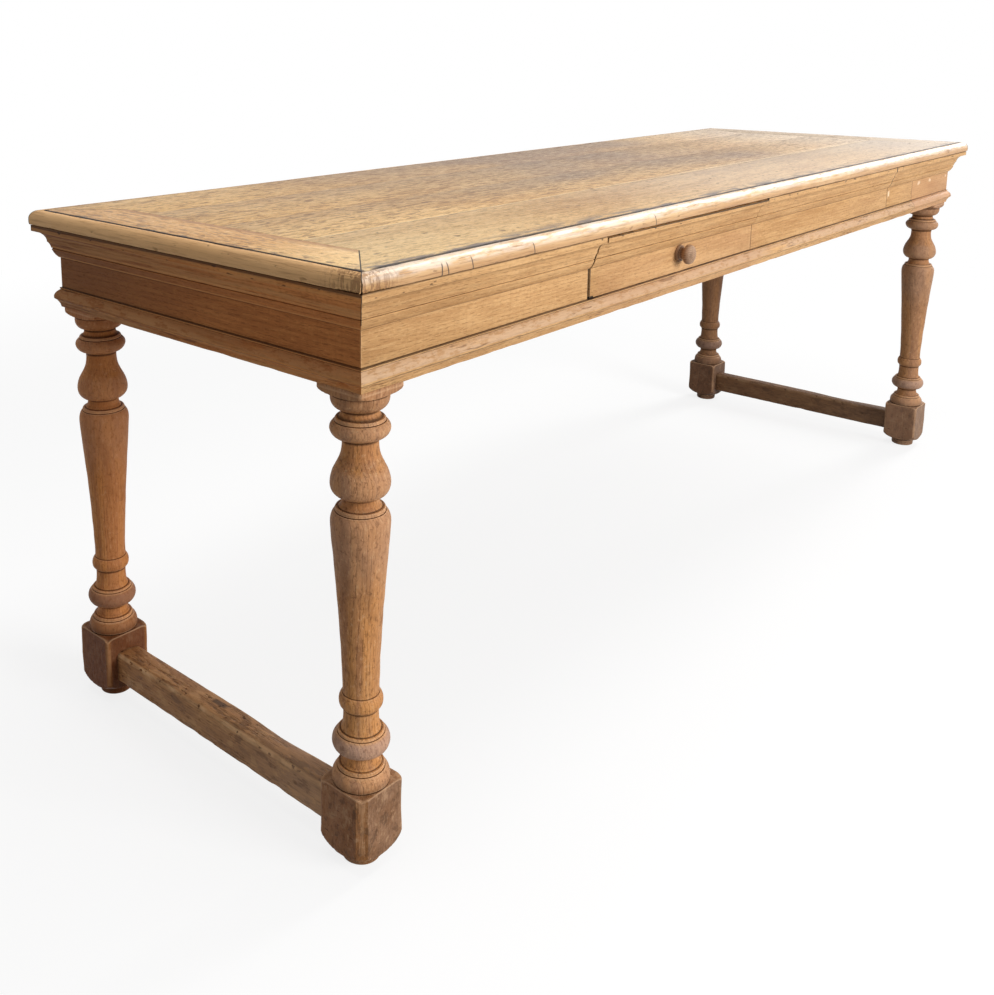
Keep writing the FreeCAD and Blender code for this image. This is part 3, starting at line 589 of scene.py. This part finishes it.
def apron_finish(name, lengthwise):
    """Waxed oak of the apron; the end boards are a redder oak than the long ones, made darker by painted
    shade.
    """
    finish, (x, y, z) = new_finish(name)
    along, deep = (x, y) if lengthwise else (y, x)
    over_mould, over_foot = z - mould_top, z - cornice_foot
    over_groove, over_band = z - cornice_groove, z - band_foot
    from_face, past_face, past_end = y + frame_half[1], abs(y) - frame_half[1], abs(x) - frame_half[0]
    if lengthwise:
        tones = ((225, 182, 129), (206, 161, 109), (172, 126, 78), (112, 75, 45))
        split = (x > drawer_left - 0.002) * 0.43 + (x > drawer_right + 0.0007) * 0.31
        height = z + (split + (x > splice) * 0.27 + (x > patch_left) * 0.19)
    else:
        tones = ((222, 152, 88), (200, 127, 70), (162, 98, 52), (88, 52, 28))
        height = z + x.math("SIGN") * 0.2
    grain = oak(along + height, height, deep * 0.5, 0.0052, (0.16, 0.05), 85)
    edge = edge_of(x)
    hollow, rubbed = edge.ease(-0.2, -0.8), edge.ease(0.3, 0.9)
    wood = oak_colour(grain, *tones, 0.2, 0.36)
    cloud = grainy(along, height, deep, (3.4, 16, 5), 3)
    wood.lay(cloud.ease(0.5, 0.74) * 0.5, tones[2])
    wood.lay(cloud.ease(0.46, 0.26) * 0.35, tones[0])
    speckle = grainy(along, height, deep, (150, 230, 230), 3, 0.7)
    wood.lay(speckle.ease(0.54, 0.66) * 0.28, tones[2])
    wood.lay(speckle.ease(0.44, 0.34) * 0.28, tones[0])
    strokes = grainy(along + 0.7, height, deep, (16, 190, 60), 3, 0.66)
    wood.lay(strokes.ease(0.52, 0.62) * 0.4, tones[2])
    wood.lay(strokes.ease(0.45, 0.36) * 0.3, tones[0])
    saw = grainy(height, along, deep, (6, 210, 9)).ease(0.56, 0.7)
    wood.lay(saw * 0.2, tones[2])
    if not lengthwise:
        # Painted shade on the end boards: a dark red brown, from none at the front to most at the back.
        wood.lay(y.ease(-0.2, 0.3) * 0.7, (108, 69, 42))
        weathered = grainy(along, height, deep, (5, 120, 60), 3, 0.6).ease(0.42, 0.6)
        weathered = weathered * (over_groove.ease(-0.0015, 0.0015) + over_mould.ease(-0.002, -0.006))
        wood.lay(weathered * 0.5, (208, 156, 102))
        lips = over_foot.band(0.0018, 0.0009, 0.0006) + over_mould.band(-0.0012, 0.0006, 0.0005)
        lips = lips + over_groove.band(0.003, 0.0008, 0.0008)
        wood.lay(lips * 0.5, (226, 164, 104))
        # Painted shadow under the nosing on the ends: the top of the cornice's flat band in near black.
        wood.lay(over_band.ease(0.0042, 0.007) * 0.85, (44, 26, 15))
    pale_dirt = (200, 166, 134) if lengthwise else (196, 140, 92)
    foot_wear = grainy(along, z, deep, (9, 60, 9), 3).ease(0.26, 0.5)
    foot_wear = foot_wear * z.band(nose_middle, 0.0055, 0.0015)
    wood.lay(foot_wear * 0.75, pale_dirt)
    scuffs = grainy(along, height, deep, (46, 130, 60), 4, 0.7)
    wood.lay(foot_wear * scuffs.ease(0.5, 0.62) * 0.65, tones[2])
    chips = z.band(nose_low, 0.0022, 0.0012) * scuffs.ease(0.5, 0.42)
    wood.lay(chips * 0.5, tones[0])
    streak = grainy(along + z * 2, height, deep, (16, 150, 40), 3, 0.65)
    scratched = streak.ease(0.6, 0.68) * over_mould.ease(0.001, -0.004)
    scratched = scratched + streak.ease(0.66, 0.72) * over_band.ease(-0.027, -0.002) * 0.8
    wood.lay(scratched * 0.6, tones[3])
    spots = grainy(along, z, deep, (64, 150, 90), 1).ease(0.68, 0.73) * over_band.ease(-0.009, 0.003)
    wood.lay(spots * 0.75, (48, 31, 21))
    wood.lay(rubbed * (0.18 + cloud * 0.35), tones[0])
    wood.lay(hollow * (0.88 if lengthwise else 0.5), (56, 35, 20))
    # Painted shade in thin dark lines: under the foot of the cornice, under the nosing, where the base mould
    # meets the boards and under its nose.
    painted_shade_lines = over_foot.band(-0.0003, 0.0005, 0.0006) * 0.45 + over_band.ease(0.0068, 0.0082) * 0.6
    painted_shade_lines = painted_shade_lines + over_mould.band(0.0001, 0.0009, 0.0006) * 0.75
    painted_shade_lines = painted_shade_lines + z.band(nose_low + 0.0008, 0.0005, 0.0005) * 0.5
    wood.lay(painted_shade_lines, (60, 38, 22))
    relief = cloud * 0.4 + speckle * 0.3
    if lengthwise:
        at_front = from_face.ease(0.038, 0.023)
        pink = x.ease(patch_left - 0.005, patch_left + 0.003) * 0.45
        pink = pink + x.band(drawer_middle + 0.024, 0.24, 0.04) * 0.15
        wood.lay(pink * at_front * over_foot.ease(0.003, -0.007), (192, 142, 106))
        blob = grainy(along, height, deep, (90, 90, 90)) * 0.012
        filled = (x + blob).band(big_hole[0], 0.0035, 0.003) * 0.9
        filled = filled * (z + blob).band(big_hole[1], 0.004, 0.004)
        filled_row = (z + blob).band(hole_row, 0.0016, 0.003) * 0.8
        for middle, half in hole_widths.items():
            filled = filled + (x + blob).band(middle, half, 0.004) * filled_row
        in_board = over_foot.ease(0.0, -0.0005)
        wood.lay(filled * at_front * in_board, (236, 206, 172))
        notch = x.band(notch_place, 0.0022, 0.0014) * over_band.band(0.004, 0.0045, 0.002)
        notch = notch + x.band(splice - 0.0005, 0.001, 0.001) * over_groove.band(0.0015, 0.01, 0.003)
        seams = x.band(splice, 0.0006, 0.0008) * over_mould.ease(-0.03, 0.008)
        seams = seams + x.band(patch_left, 0.0005, 0.0008) * over_foot.ease(0.0, -0.001)
        # Painted shade in the gaps round the drawer: down its ends, over its top, in broken lengths along
        # its foot and in a patch at its lower left corner.
        opening = z.ease(drawer_base - 0.0004, drawer_base + 0.0002)
        painted_gap_shade = x.band(drawer_gap, 0.0032, 0.0007) * over_foot.ease(0.001, -0.0005)
        painted_gap_shade = (painted_gap_shade + x.band(drawer_gap, 0.0016, 0.0007)) * opening
        in_frieze = over_foot.ease(0.002, 0.0) + over_band.ease(-0.0005, 0.0005)
        painted_gap_shade = painted_gap_shade + x.band(drawer_right + 0.0005, 0.0006, 0.0006) * opening * in_frieze
        broken = grainy(x, z, y, (30, 8, 8), 3).ease(0.46, 0.56) * 0.8
        broken = broken + x.ease(drawer_left + 0.032, drawer_left + 0.007)
        broken = broken * x.band(drawer_middle, drawer_half + 0.0025, 0.001)
        painted_gap_shade = painted_gap_shade + z.band(drawer_base, 0.0004, 0.0006) * broken
        lip = from_face.ease(-0.0272, -0.0282) * x.band(drawer_middle, drawer_half + 0.0002, 0.0006)
        painted_gap_shade = painted_gap_shade + (over_band + x * 0.004).ease(0.0035, 0.004) * lip * 0.85
        for drawer_end in (drawer_left, drawer_right):
            painted_gap_shade = painted_gap_shade * (1 - x.band(drawer_end, 0.0002, 0.0001))
        heel = z.band(drawer_base + 0.001, 0.0016, 0.0006)
        painted_gap_shade = painted_gap_shade + x.band(drawer_left + 0.004, 0.0062, 0.0012) * heel
        # The painted gap shade is laid on with the dark notches and splice seams, in one near-black colour.
        wood.lay((painted_gap_shade + notch + seams * 0.75).math("MINIMUM", 0.94) * at_front, (28, 19, 13))
        relief = relief + filled * 0.3
    mitred = (past_end - past_face).band(0.0, 0.0005, 0.0008) * over_foot.ease(0.0065, 0.0075)
    wood.lay(mitred * 0.85, (30, 20, 14))
    arris = past_end.ease(-0.002, -0.0005) * past_face.ease(-0.002, -0.0005)
    wood.lay(arris * over_foot.band(-0.022, 0.021, 0.001) * 0.5, (226, 180, 128))
    relief = relief - scratched - spots
    rough = 0.46 + cloud * 0.12 + hollow * 0.2
    close_finish(finish, grain, wood, rough, relief, 0.0007, 0.22 if lengthwise else 0.1)
    return finish


apron_long = apron_finish("apron_oak_long", True)
apron_end = apron_finish("apron_oak_end", False)
boards = {
    "apron_back": apron_long, "apron_left": apron_end, "apron_right": apron_end,
    "apron_front_left": apron_long, "apron_front_right": apron_long, "apron_patch": apron_long,
    "drawer_rail": apron_long,
}
for node, material in boards.items():
    finish_piece(eased_copy(node, node + "_board", 0.0007), material, "oak_apron", "frame", node)


# Base mould
# A narrow oak moulding along the foot of the apron: fillet, ovolo, flat nose and a hollow under it.
# It is planted on the boards and mitred at the corners.
foot_mould_mm = [
    (0, 652), (1.9, 652), (2.2, 651.7), (2.2, 650.2), (1.9, 649.7), (1.2, 649.3), (1.9, 648.8), (3.2, 648),
    (5.4, 646), (7.4, 643.4), (8.6, 640.8), (9.0, 638.8), (9.0, 635.6), (8.5, 634.5), (7.2, 633.7),
    (6.2, 633.1), (5.4, 632.2), (4.4, 630.6), (2.8, 627.6), (1.9, 624.8), (1.5, 622.3), (1.3, 622), (0, 622),
]
broken_reach = 0.065


def long_mould(name, section_mm, side, start=None, end=None, spacing=0.016, top_mm=math.inf):
    """A moulding along one side of the table, mitred where no end is given; side 0 is the front."""
    run, away = frame_half if side % 2 == 0 else frame_half[::-1]
    section = [(out / 1000, min(height, top_mm) / 1000) for out, height in section_mm]
    low = -run if start is None else start
    high = run if end is None else end
    piece = draw_strip(name, section, evenly(low, high, spacing), start is None, end is None)
    piece.data.transform(Matrix.Translation((0, -away, 0)))
    return piece


side_names = ("front", "right", "back", "left")
for side, side_name in enumerate(side_names):
    mould = long_mould("base_moulding_" + side_name, foot_mould_mm, side, spacing=0.008)
    rub_arrises(mould, 0.0004, 0.0022, 11.0 + side, 0.0002)
    broken_end = {"front": -frame_half[0], "left": frame_half[1]}.get(side_name)
    for point in mould.data.vertices if broken_end else ():
        near = max(0.0, 1 - abs(point.co.x - broken_end) / broken_reach)
        ragged = 0.7 + noise.noise((point.co.x * 90, point.co.y * 40, point.co.z * 70))
        point.co.z += max(0.0, nose_low - point.co.z) * min(1.0, near * 1.5) * min(0.9, ragged)
    material = apron_end if side % 2 else apron_long
    finish_piece(mould, material, "oak_apron", "frame", "base_mould_" + side_name, turn=side)


# Cornice
# A deeper oak moulding under the top: ovolo, fine groove, swelling run, wide hollow and a flat band.
# The front is in three lengths: left of the drawer, middle, and right of the old splice.
cornice_mm = [
    (0, 697), (1.2, 697), (1.6, 697.2), (2.9, 698.6), (4.6, 700.8), (6.1, 703.4), (7.4, 706.2), (8.2, 708.3),
    (8.5, 709.3), (8.2, 709.8), (7.0, 710.5), (8.4, 711.2), (9.0, 711.7), (9.4, 713.6), (10.2, 716.4),
    (11.6, 719.2),
]
hollow_mm, hollow_steps = 16, 7
for place in range(hollow_steps + 1):
    turn = math.pi / 2 * place / hollow_steps
    cornice_mm.append((29 - hollow_mm * math.cos(turn), 721 + hollow_mm * math.sin(turn)))
cornice_mm += [(29, 738.2), (29, 742.5), (29, 745.6), (28.6, 746), (0, 746)]
cornice_runs = {
    "front_left": (0, None, drawer_left - 0.0035), "front_middle": (0, drawer_right + 0.001, splice),
    "front_right": (0, splice + 0.0002, None), "right": (1, None, None), "back": (2, None, None),
    "left": (3, None, None),
}
for run_name, (side, start, end) in cornice_runs.items():
    mould = long_mould("cornice_run_" + run_name, cornice_mm, side, start, end)
    rub_arrises(mould, 0.0004, 0.002, 21.0 + side, 0.0002)
    material = apron_end if side % 2 else apron_long
    finish_piece(mould, material, "oak_apron", "frame", "cornice_" + run_name, turn=side)


# Top boards
# Four long oak boards and a mitred cross board at each end, scrubbed pale, with a painted grey sheen towards
# the back.
# Open joints, dents and dark stains along the front edge come from long use.
top_oak, (x, y, z) = new_finish("top_oak")
boards_out, cross_width = 0.014, 0.085
boards_half = [half + boards_out for half in frame_half]
first_joint, second_joint, third_joint = -0.14, 0.02, 0.18
from_left, from_front, at_left = x + boards_half[0], y + boards_half[1], x.ease(0.1, -0.1)
past_end, past_back, past_joint = abs(x) - boards_half[0], y - boards_half[1], y - first_joint
past_cross = past_end + cross_width
on_cross = past_cross.ease(-hair, hair)
mitre = past_end - (abs(y) - boards_half[1])
is_cross = on_cross * mitre.ease(-hair, hair)
lane = (y > first_joint) * 0.37 + (y > second_joint) * 0.29 + (y > third_joint) * 0.41
along = (x + lane) * (1 - is_cross) + (y + x.math("SIGN") * 0.2) * is_cross
across = (y + lane) * (1 - is_cross) + (x + 0.11) * is_cross
grain = oak(along, across, z, 0.0062, (0.05, 0.11), 70)
tones = ((232, 194, 138), (218, 176, 118), (190, 144, 90), (128, 88, 52))
wood = oak_colour(grain, *tones, 0.24, 0.42)
blotch = grainy(along, across, z, (3.2, 7, 1), 4, 0.6)
wood.lay(blotch.ease(0.48, 0.66) * 0.5, (184, 138, 88))
wear_patch = grainy(x, y, z, (2.2, 4.4, 1), 3).ease(0.38, 0.62)
# Painted sheen: the middle of the top turns grey towards the back, in patches.
grey_sheen_back = (y + x * 0.1).ease(-0.22, -0.02) * x.ease(-0.95, -0.2) * x.ease(0.75, 0.4)
wood.lay(grey_sheen_back * (0.56 + wear_patch * 0.36), (142, 120, 104))
# Painted sheen: the right end of the top is laid over in a pale grey white.
wood.lay(x.ease(0.45, 1.0) * 0.6, (216, 208, 196))
wood.lay(is_cross * at_left * 0.62, (196, 140, 70))
near_corner = from_left.ease(0.5015, 0.0515) * from_front.ease(0.262, 0.002)
wood.lay(near_corner * 0.6, (250, 218, 160))
mottle = grainy(along, across, z, (105, 240, 1), 4, 0.7)
wood.lay(mottle.ease(0.51, 0.66) * 0.5, (138, 100, 66))
wood.lay(mottle.ease(0.46, 0.32) * 0.45, (240, 208, 156))
behind = past_joint.ease(-0.02, 0.02)
strokes = grainy(along + 0.7, across, z, (34, 130, 1), 3, 0.66)
wood.lay(strokes.ease(0.51, 0.6) * (0.22 + behind * 0.36), (120, 88, 60))
wood.lay(strokes.ease(0.46, 0.38) * 0.22, (236, 206, 160))
wood.lay((1 - behind) * x.ease(-0.6, 0.1) * 0.3, (222, 210, 200))
inner_band = is_cross * past_cross.ease(0.0195, 0.0055) * at_left
wood.lay(inner_band * 0.7, (146, 98, 52))
cream_joint = past_joint.band(0.0005, 0.0009, 0.0012) * (1 - is_cross)
wood.lay(cream_joint * 0.6, (242, 216, 168))
dark_joint = past_joint.band(-0.0015, 0.0007, 0.0009) + y.band(second_joint, 0.0006, 0.0012) * 0.5
dark_joint = dark_joint * (1 - is_cross)
wood.lay(dark_joint * 0.6, (92, 62, 38))
front_edge, left_edge = from_front.ease(0.036, 0.002), from_left.ease(0.0315, 0.001)
stain = grainy(x, y, z, (16, 70, 1), 4, 0.65)
stained = front_edge * stain.ease(0.45, 0.58) * (0.4 + x.ease(0.5, -0.3) * 0.45)
wood.lay(stained, (88, 84, 90))
chipped = grainy(y, x, z, (40, 70, 1), 3, 0.6).ease(0.55, 0.64)
wood.lay(left_edge * chipped * 0.8, (66, 45, 31))
ragged = stain * 0.004
groove = (from_front + ragged).ease(0.0054, 0.0044) * from_left.ease(0.0095, 0.0315)
groove = groove + past_end.ease(-0.0025, -0.0013) * (0.4 + at_left * 0.6)
groove = (groove + past_back.ease(-0.0024, -0.0012)).math("MINIMUM", 1.0)
wood.lay(groove * 0.92, (34, 25, 23))
mitre_line = mitre.band(0.0, 0.0008, 0.0007) * on_cross * x.ease(0.0, -0.1)
wood.lay(mitre_line * 0.95, (24, 17, 13))
dents = grainy(along, across, z, (55, 95, 1), 1).ease(0.69, 0.74)
wood.lay(dents * 0.6, (92, 62, 38))
relief = blotch * 1.2 - dents * 1.5 + mottle * 0.7 - groove
close_finish(top_oak, grain, wood, 0.36 + blotch * 0.16 + grey_sheen_back * 0.06, relief, 0.0007, 0.4)
top_nodes = (
    "top_board_front", "top_board_second", "top_board_third", "top_board_back",
    "cross_board_left", "cross_board_right",
)
for node in top_nodes:
    finish_piece(eased_copy(node, node + "_plank", 0.0006), top_oak, "oak_top", "frame", node)


# Nosing
# A rounded oak edge nailed round the top, with a dark open groove against the boards.
# It is crumbled at the near corner and cracked across in a few places along the front.
nosing_mm = [(14, 746), (28.6, 746), (30, 746.5), (30.8, 748), (31, 750.5), (31, 754.6)]
round_steps = 8
for place in range(1, round_steps + 1):
    turn = math.pi / 2 * place / round_steps
    nosing_mm.append((18.6 + 12.4 * math.cos(turn), 755 + 13 * math.sin(turn)))
nosing_mm += [(17.6, 767.8), (17, 767), (16.7, 765.2), (15.4, 764.6), (14, 764.8)]
nosing_oak, (x, y, z) = new_finish("nosing_oak")
nosing_half = solid_high[:2]
straight_crack, slanted_cracks = -0.9346, (-0.9256, -0.8802, -0.7541, -0.4486)
crumble_reach, crumble_depth, crumble_top, crumble_soft = 0.075, 0.005, 0.762, 0.008
from_left, from_front, from_top = x + nosing_half[0], y + nosing_half[1], z - solid_high[2]
past_end = abs(x) - boards_half[0]
mitre = past_end - (abs(y) - boards_half[1])
endwise = past_end.ease(-0.001, 0.001) * mitre.ease(-0.0002, 0.0002)
along = x * (1 - endwise) + y * endwise
across = y * (1 - endwise) + x * endwise
grain = oak(along + across, z, across, 0.0056, (0.09, 0.06))
tones = ((232, 198, 152), (214, 174, 126), (184, 138, 92), (118, 80, 50))
wood = oak_colour(grain, *tones, 0.24, 0.4)
cloud = grainy(along, z, across, (7, 20, 20), 4, 0.6)
wood.lay(cloud.ease(0.5, 0.7) * 0.45, (158, 110, 66))
wood.lay(cloud.ease(0.44, 0.26) * 0.4, (232, 198, 146))
wood.lay(endwise * x.ease(0.1, -0.1) * 0.62, (246, 194, 134))
# Pale worn wood and a painted highlight along the top of the front nosing.
pale_wear_and_highlight = from_front.ease(0.015, 0.01) * from_top.ease(-0.0145, -0.007) * (1 - endwise)
pale_wear_and_highlight = pale_wear_and_highlight * grainy(along, z, across, (26, 120, 120), 4, 0.65).ease(0.36, 0.56)
wood.lay(pale_wear_and_highlight * 0.45, (240, 228, 214))
# Painted shade on the lower half of the nosing: a golden brown.
wood.lay(from_top.ease(-0.011, -0.018) * (1 - endwise) * 0.55, (190, 140, 86))
knocks = grainy(along, z, across, (44, 90, 90)).ease(0.66, 0.72)
wood.lay(knocks * 0.42, (110, 72, 44))
grained = grainy(along, z, across, (12, 330, 330))
wood.lay(grained.ease(0.52, 0.66) * 0.35, (150, 106, 66))
crumbled = from_left.ease(crumble_reach, 0.02) * from_front.ease(crumble_reach, 0.02)
crumbs = grainy(z, along, across, (40, 260, 260), 3).ease(0.48, 0.6)
wood.lay(crumbled * crumbs * 0.55, (132, 88, 58))
cracks = x.band(straight_crack, 0.0007, 0.0007)
for place in slanted_cracks:
    cracks = cracks + (x + (from_top + 0.008) * 0.25).band(place, 0.0006, 0.0006)
cracks = cracks * from_front.ease(0.014, 0.008) * from_top.ease(-0.005, -0.009) * (1 - endwise)
wood.lay(cracks * 0.85, (44, 28, 18))
out = (abs(y) - frame_half[1]) * (1 - endwise) + (abs(x) - frame_half[0]) * endwise
closed = from_left.ease(0.05, 0.02) * (1 - endwise)
groove = out.ease(0.0182, 0.0172) * from_top.ease(-0.008, -0.005) * (1 - closed)
wood.lay(groove * 0.94, (30, 22, 20))
mitred = mitre.band(0.0, 0.0006, 0.0007) * past_end.ease(-0.0065, -0.0015)
wood.lay(mitred * 0.85, (34, 22, 15))
relief = cloud * 0.6 - knocks * 1.2 - crumbled * crumbs * 4.0 - cracks * 3.0
close_finish(nosing_oak, grain, wood, 0.42 + cloud * 0.14 + knocks * 0.2 + crumbled * 0.2, relief, 0.0008)
polished = from_front.ease(0.021, 0.013) * (1 - endwise) * (1 - crumbled * 0.6) * (1 - groove)
polished = polished * (0.36 + pale_wear_and_highlight * 0.36)
shader = nosing_oak.node_tree.nodes["Principled BSDF"]
nosing_oak.node_tree.links.new(polished.socket, shader.inputs["Coat Weight"])
shader.inputs["Coat Roughness"].default_value = 0.33
shader.inputs["Coat IOR"].default_value = 1.8


def crumble(piece, end, away):
    """Breaks small pieces out of the lower half of a strip near one of its ends."""
    for point in piece.data.vertices:
        near = max(0.0, 1 - abs(point.co.x - end) / crumble_reach)
        low = max(0.0, min(1.0, (crumble_top - point.co.z) / crumble_soft))
        loss = 0.5 + noise.noise((point.co.x * 150, point.co.y * 60, point.co.z * 110))
        if point.co.y < -away - 0.02:
            point.co.y += crumble_depth * near * low * max(0.0, loss)


for side, side_name in enumerate(side_names):
    strip = long_mould("nosed_edge_" + side_name, nosing_mm, side, spacing=0.006)
    rub_arrises(strip, 0.0005, 0.0016, 31.0 + side, 0.0003)
    if side_name == "front":
        crumble(strip, -nosing_half[0], frame_half[1])
    elif side_name == "left":
        crumble(strip, nosing_half[1], frame_half[0])
    finish_piece(strip, nosing_oak, "oak_top", "frame", "nosing_" + side_name, turn=side)


# Drawer
# An oak drawer that slides in the front of the apron; its front carries its own length of cornice.
# Sides, back and bottom are thinner, left dry inside and dovetailed at the corners.
drawer_face = eased_copy("drawer_front", "drawer_face", 0.0008)
finish_piece(drawer_face, apron_long, "oak_apron", "drawer", "drawer_front")
drawer_mould = long_mould("drawer_face_cornice", cornice_mm, 0, drawer_left, drawer_right, top_mm=743.6)
rub_arrises(drawer_mould, 0.0004, 0.0022, 27.0, 0.0002)
finish_piece(drawer_mould, apron_long, "oak_apron", "drawer", "drawer_cornice")


def dry_finish(name, lengthwise):
    """Bare oak that never saw wax: greyer, dustier and matt."""
    finish, (x, y, z) = new_finish(name)
    along, across = (x, y) if lengthwise else (y, x)
    grain = oak(along, across, z, 0.005, (0.06, 0.09))
    wood = oak_colour(grain, (186, 150, 106), (164, 124, 82), (134, 98, 62), (92, 64, 42))
    dust = grainy(along, across, z, (6, 14, 14), 4, 0.6)
    wood.lay(dust.ease(0.45, 0.7) * 0.45, (142, 118, 92))
    close_finish(finish, grain, wood, 0.66 + dust * 0.15, dust * 0.6, 0.0006, 0.25)
    return finish


dry_long = dry_finish("dry_oak_long", True)
dry_cross = dry_finish("dry_oak_cross", False)
dry_nodes = {
    "drawer_back": dry_long, "drawer_bottom": dry_long, "glue_blocks": dry_long,
    "drawer_side_left": dry_cross, "drawer_side_right": dry_cross, "drawer_stops": dry_cross,
}
for place in ("left", "right"):
    for kind in ("drawer_runner_", "drawer_guide_", "drawer_kicker_"):
        dry_nodes[kind + place] = dry_cross
for place in ("left", "middle", "right"):
    dry_nodes["top_bearer_" + place] = dry_cross
for node, material in dry_nodes.items():
    coat(frame["nodes"][node], material)


# Knob
# A turned oak knob with a flange, a slim neck and a mushroom head, greyed by hands.
# Its spigot goes through the drawer front.
knob_height = 0.6825
knob_runs_mm = [
    [(13, 0), (13.5, 0.8), (13.5, 2.6), (12.8, 4.1), (11.6, 4.6)],
    [(10.6, 4.8), (8.7, 6.8), (8.3, 9), (9.2, 11.4), (11.6, 12.8)],
    [(13.4, 13.2), (15.2, 14.8), (15.6, 17), (15.2, 19.8), (13.8, 22.2)],
    [(13, 22.8), (11.4, 23.9), (8, 25.2), (4.4, 25.8), (1.2, 26)],
]
knob = turn_piece("turned_knob", knob_runs_mm, 0.9, 48)
knob.data.transform(Matrix.Rotation(math.pi / 2, 4, "X"))
knob.data.transform(Matrix.Translation((drawer_middle, -frame_half[1], knob_height)))
knob_oak, (x, y, z) = new_finish("knob_oak")
grain = oak(y, x, z, 0.003, (0.32, -0.67))
edge = edge_of(x)
wood = oak_colour(grain, (194, 162, 130), (166, 132, 104), (130, 98, 74), (74, 52, 38))
handled = grainy(y, x, z, (60, 60, 60), 3)
wood.lay(handled.ease(0.48, 0.66) * 0.5, (108, 82, 62))
wood.lay(edge.ease(-0.1, -0.6) * 0.8, (44, 30, 20))
close_finish(knob_oak, grain, wood, 0.4 + handled * 0.12, handled * 0.4, 0.0004)
finish_piece(knob, knob_oak, "oak_knob", "drawer", "drawer_knob")


# Floor, backdrop and light
# A pale studio: a white floor that keeps the shadow near the table, a broad soft light from the front,
# one above, and a tall one beyond the right end that draws the shine along the front nosing.
object_mode()
bpy.ops.mesh.primitive_plane_add(size=60, location=(0, 0, -0.0005))
floor = bpy.context.object
floor.name = "studio_floor"
floor_paint, (x, y, z) = new_finish("studio_white")


def seen_rays(start):
    """1 for the rays that show the backdrop: from the camera, a reflection or through glass."""
    shown = start.node("LightPath", {}, {}, "Is Camera Ray")
    for kind in ("Is Glossy Ray", "Is Transmission Ray"):
        shown = shown + start.node("LightPath", {}, {}, kind)
    return shown.math("MINIMUM", 1.0)


shown = seen_rays(x)
shader = floor_paint.node_tree.nodes["Principled BSDF"]
floor_grey, floor_white = 0.42, 0.95
x.tree.links.new((floor_grey + shown * (floor_white - floor_grey)).socket, shader.inputs["Base Color"])
shader.inputs["Roughness"].default_value = 0.9
shader.inputs["Specular IOR Level"].default_value = 0.0
glow = x.node("Emission", {}, {"Color": (1.0, 1.0, 1.0, 1.0), "Strength": 1.0})
distance = (x * x + y * y) ** 0.5
part = shown * (0.82 + distance.ease(1.3, 3.4) * 0.18)
lit = x.node("MixShader", {}, {0: part, 1: Shade(x.tree, shader.outputs[0]), 2: glow})
x.tree.links.new(lit.socket, x.tree.nodes["Material Output"].inputs["Surface"])
floor.data.materials.append(floor_paint)

scene = bpy.context.scene
scene.view_settings.view_transform = "Standard"
world = bpy.data.worlds.new("studio")
scene.world = world
world.use_nodes = True
backdrop = world.node_tree.nodes["Background"]
shown = seen_rays(Shade(world.node_tree, backdrop.outputs[0]))
ambient = 0.28
backdrop.inputs["Color"].default_value = (1.0, 1.0, 1.0, 1.0)
world.node_tree.links.new((ambient + shown * (1 - ambient)).socket, backdrop.inputs["Strength"])


def soft_lamp(name, place, aim, width, tall, power):
    """A soft lamp of a given size that faces a point of the table."""
    lamp = bpy.data.lights.new(name, "AREA")
    lamp.shape = "RECTANGLE"
    lamp.size, lamp.size_y = width, tall
    lamp.energy = power
    holder = bpy.data.objects.new(name, lamp)
    holder.location = place
    holder.rotation_euler = (Vector(aim) - Vector(place)).to_track_quat("-Z", "Y").to_euler()
    scene.collection.objects.link(holder)


soft_lamp("window_front", (0.1, -4.2, 1.9), (-0.1, -0.3, 0.6), 2.2, 2.0, 175.0)
soft_lamp("window_right", (5.2, -0.7, 4.1), (0.0, -0.4, 0.9), 1.4, 5.2, 235.0)
soft_lamp("roof_light", (-0.9, -0.1, 3.5), (-0.5, 0.0, 0.77), 1.8, 1.8, 30.0)


# Camera
# It stands where the photo was taken: off the front left corner and a little above the top.
# The middle of the picture is shifted, as in a photo that was cropped.
eye = Vector((-1.8957, -1.1337, 1.0121))
yaw, pitch = math.radians(43.0369), math.radians(-10.6027)
ahead = Vector((math.cos(yaw) * math.cos(pitch), math.sin(yaw) * math.cos(pitch), math.sin(pitch)))
right = Vector((math.sin(yaw), -math.cos(yaw), 0))
upward = right.cross(ahead)
lens = bpy.data.cameras.new("camera")
lens.sensor_fit = "HORIZONTAL"
lens.sensor_width = 36.0
image_width, image_height, focal_px, centre_px = 994, 995, 1110.37, (376.98, 248.23)
lens.lens = focal_px * lens.sensor_width / image_width
lens.shift_x = (image_width / 2 - centre_px[0]) / image_width
lens.shift_y = (centre_px[1] - image_height / 2) / image_width
camera = bpy.data.objects.new("camera", lens)
camera.matrix_world = Matrix((
    (right.x, upward.x, -ahead.x, eye.x),
    (right.y, upward.y, -ahead.y, eye.y),
    (right.z, upward.z, -ahead.z, eye.z),
    (0, 0, 0, 1),
))
scene.collection.objects.link(camera)
scene.camera = camera
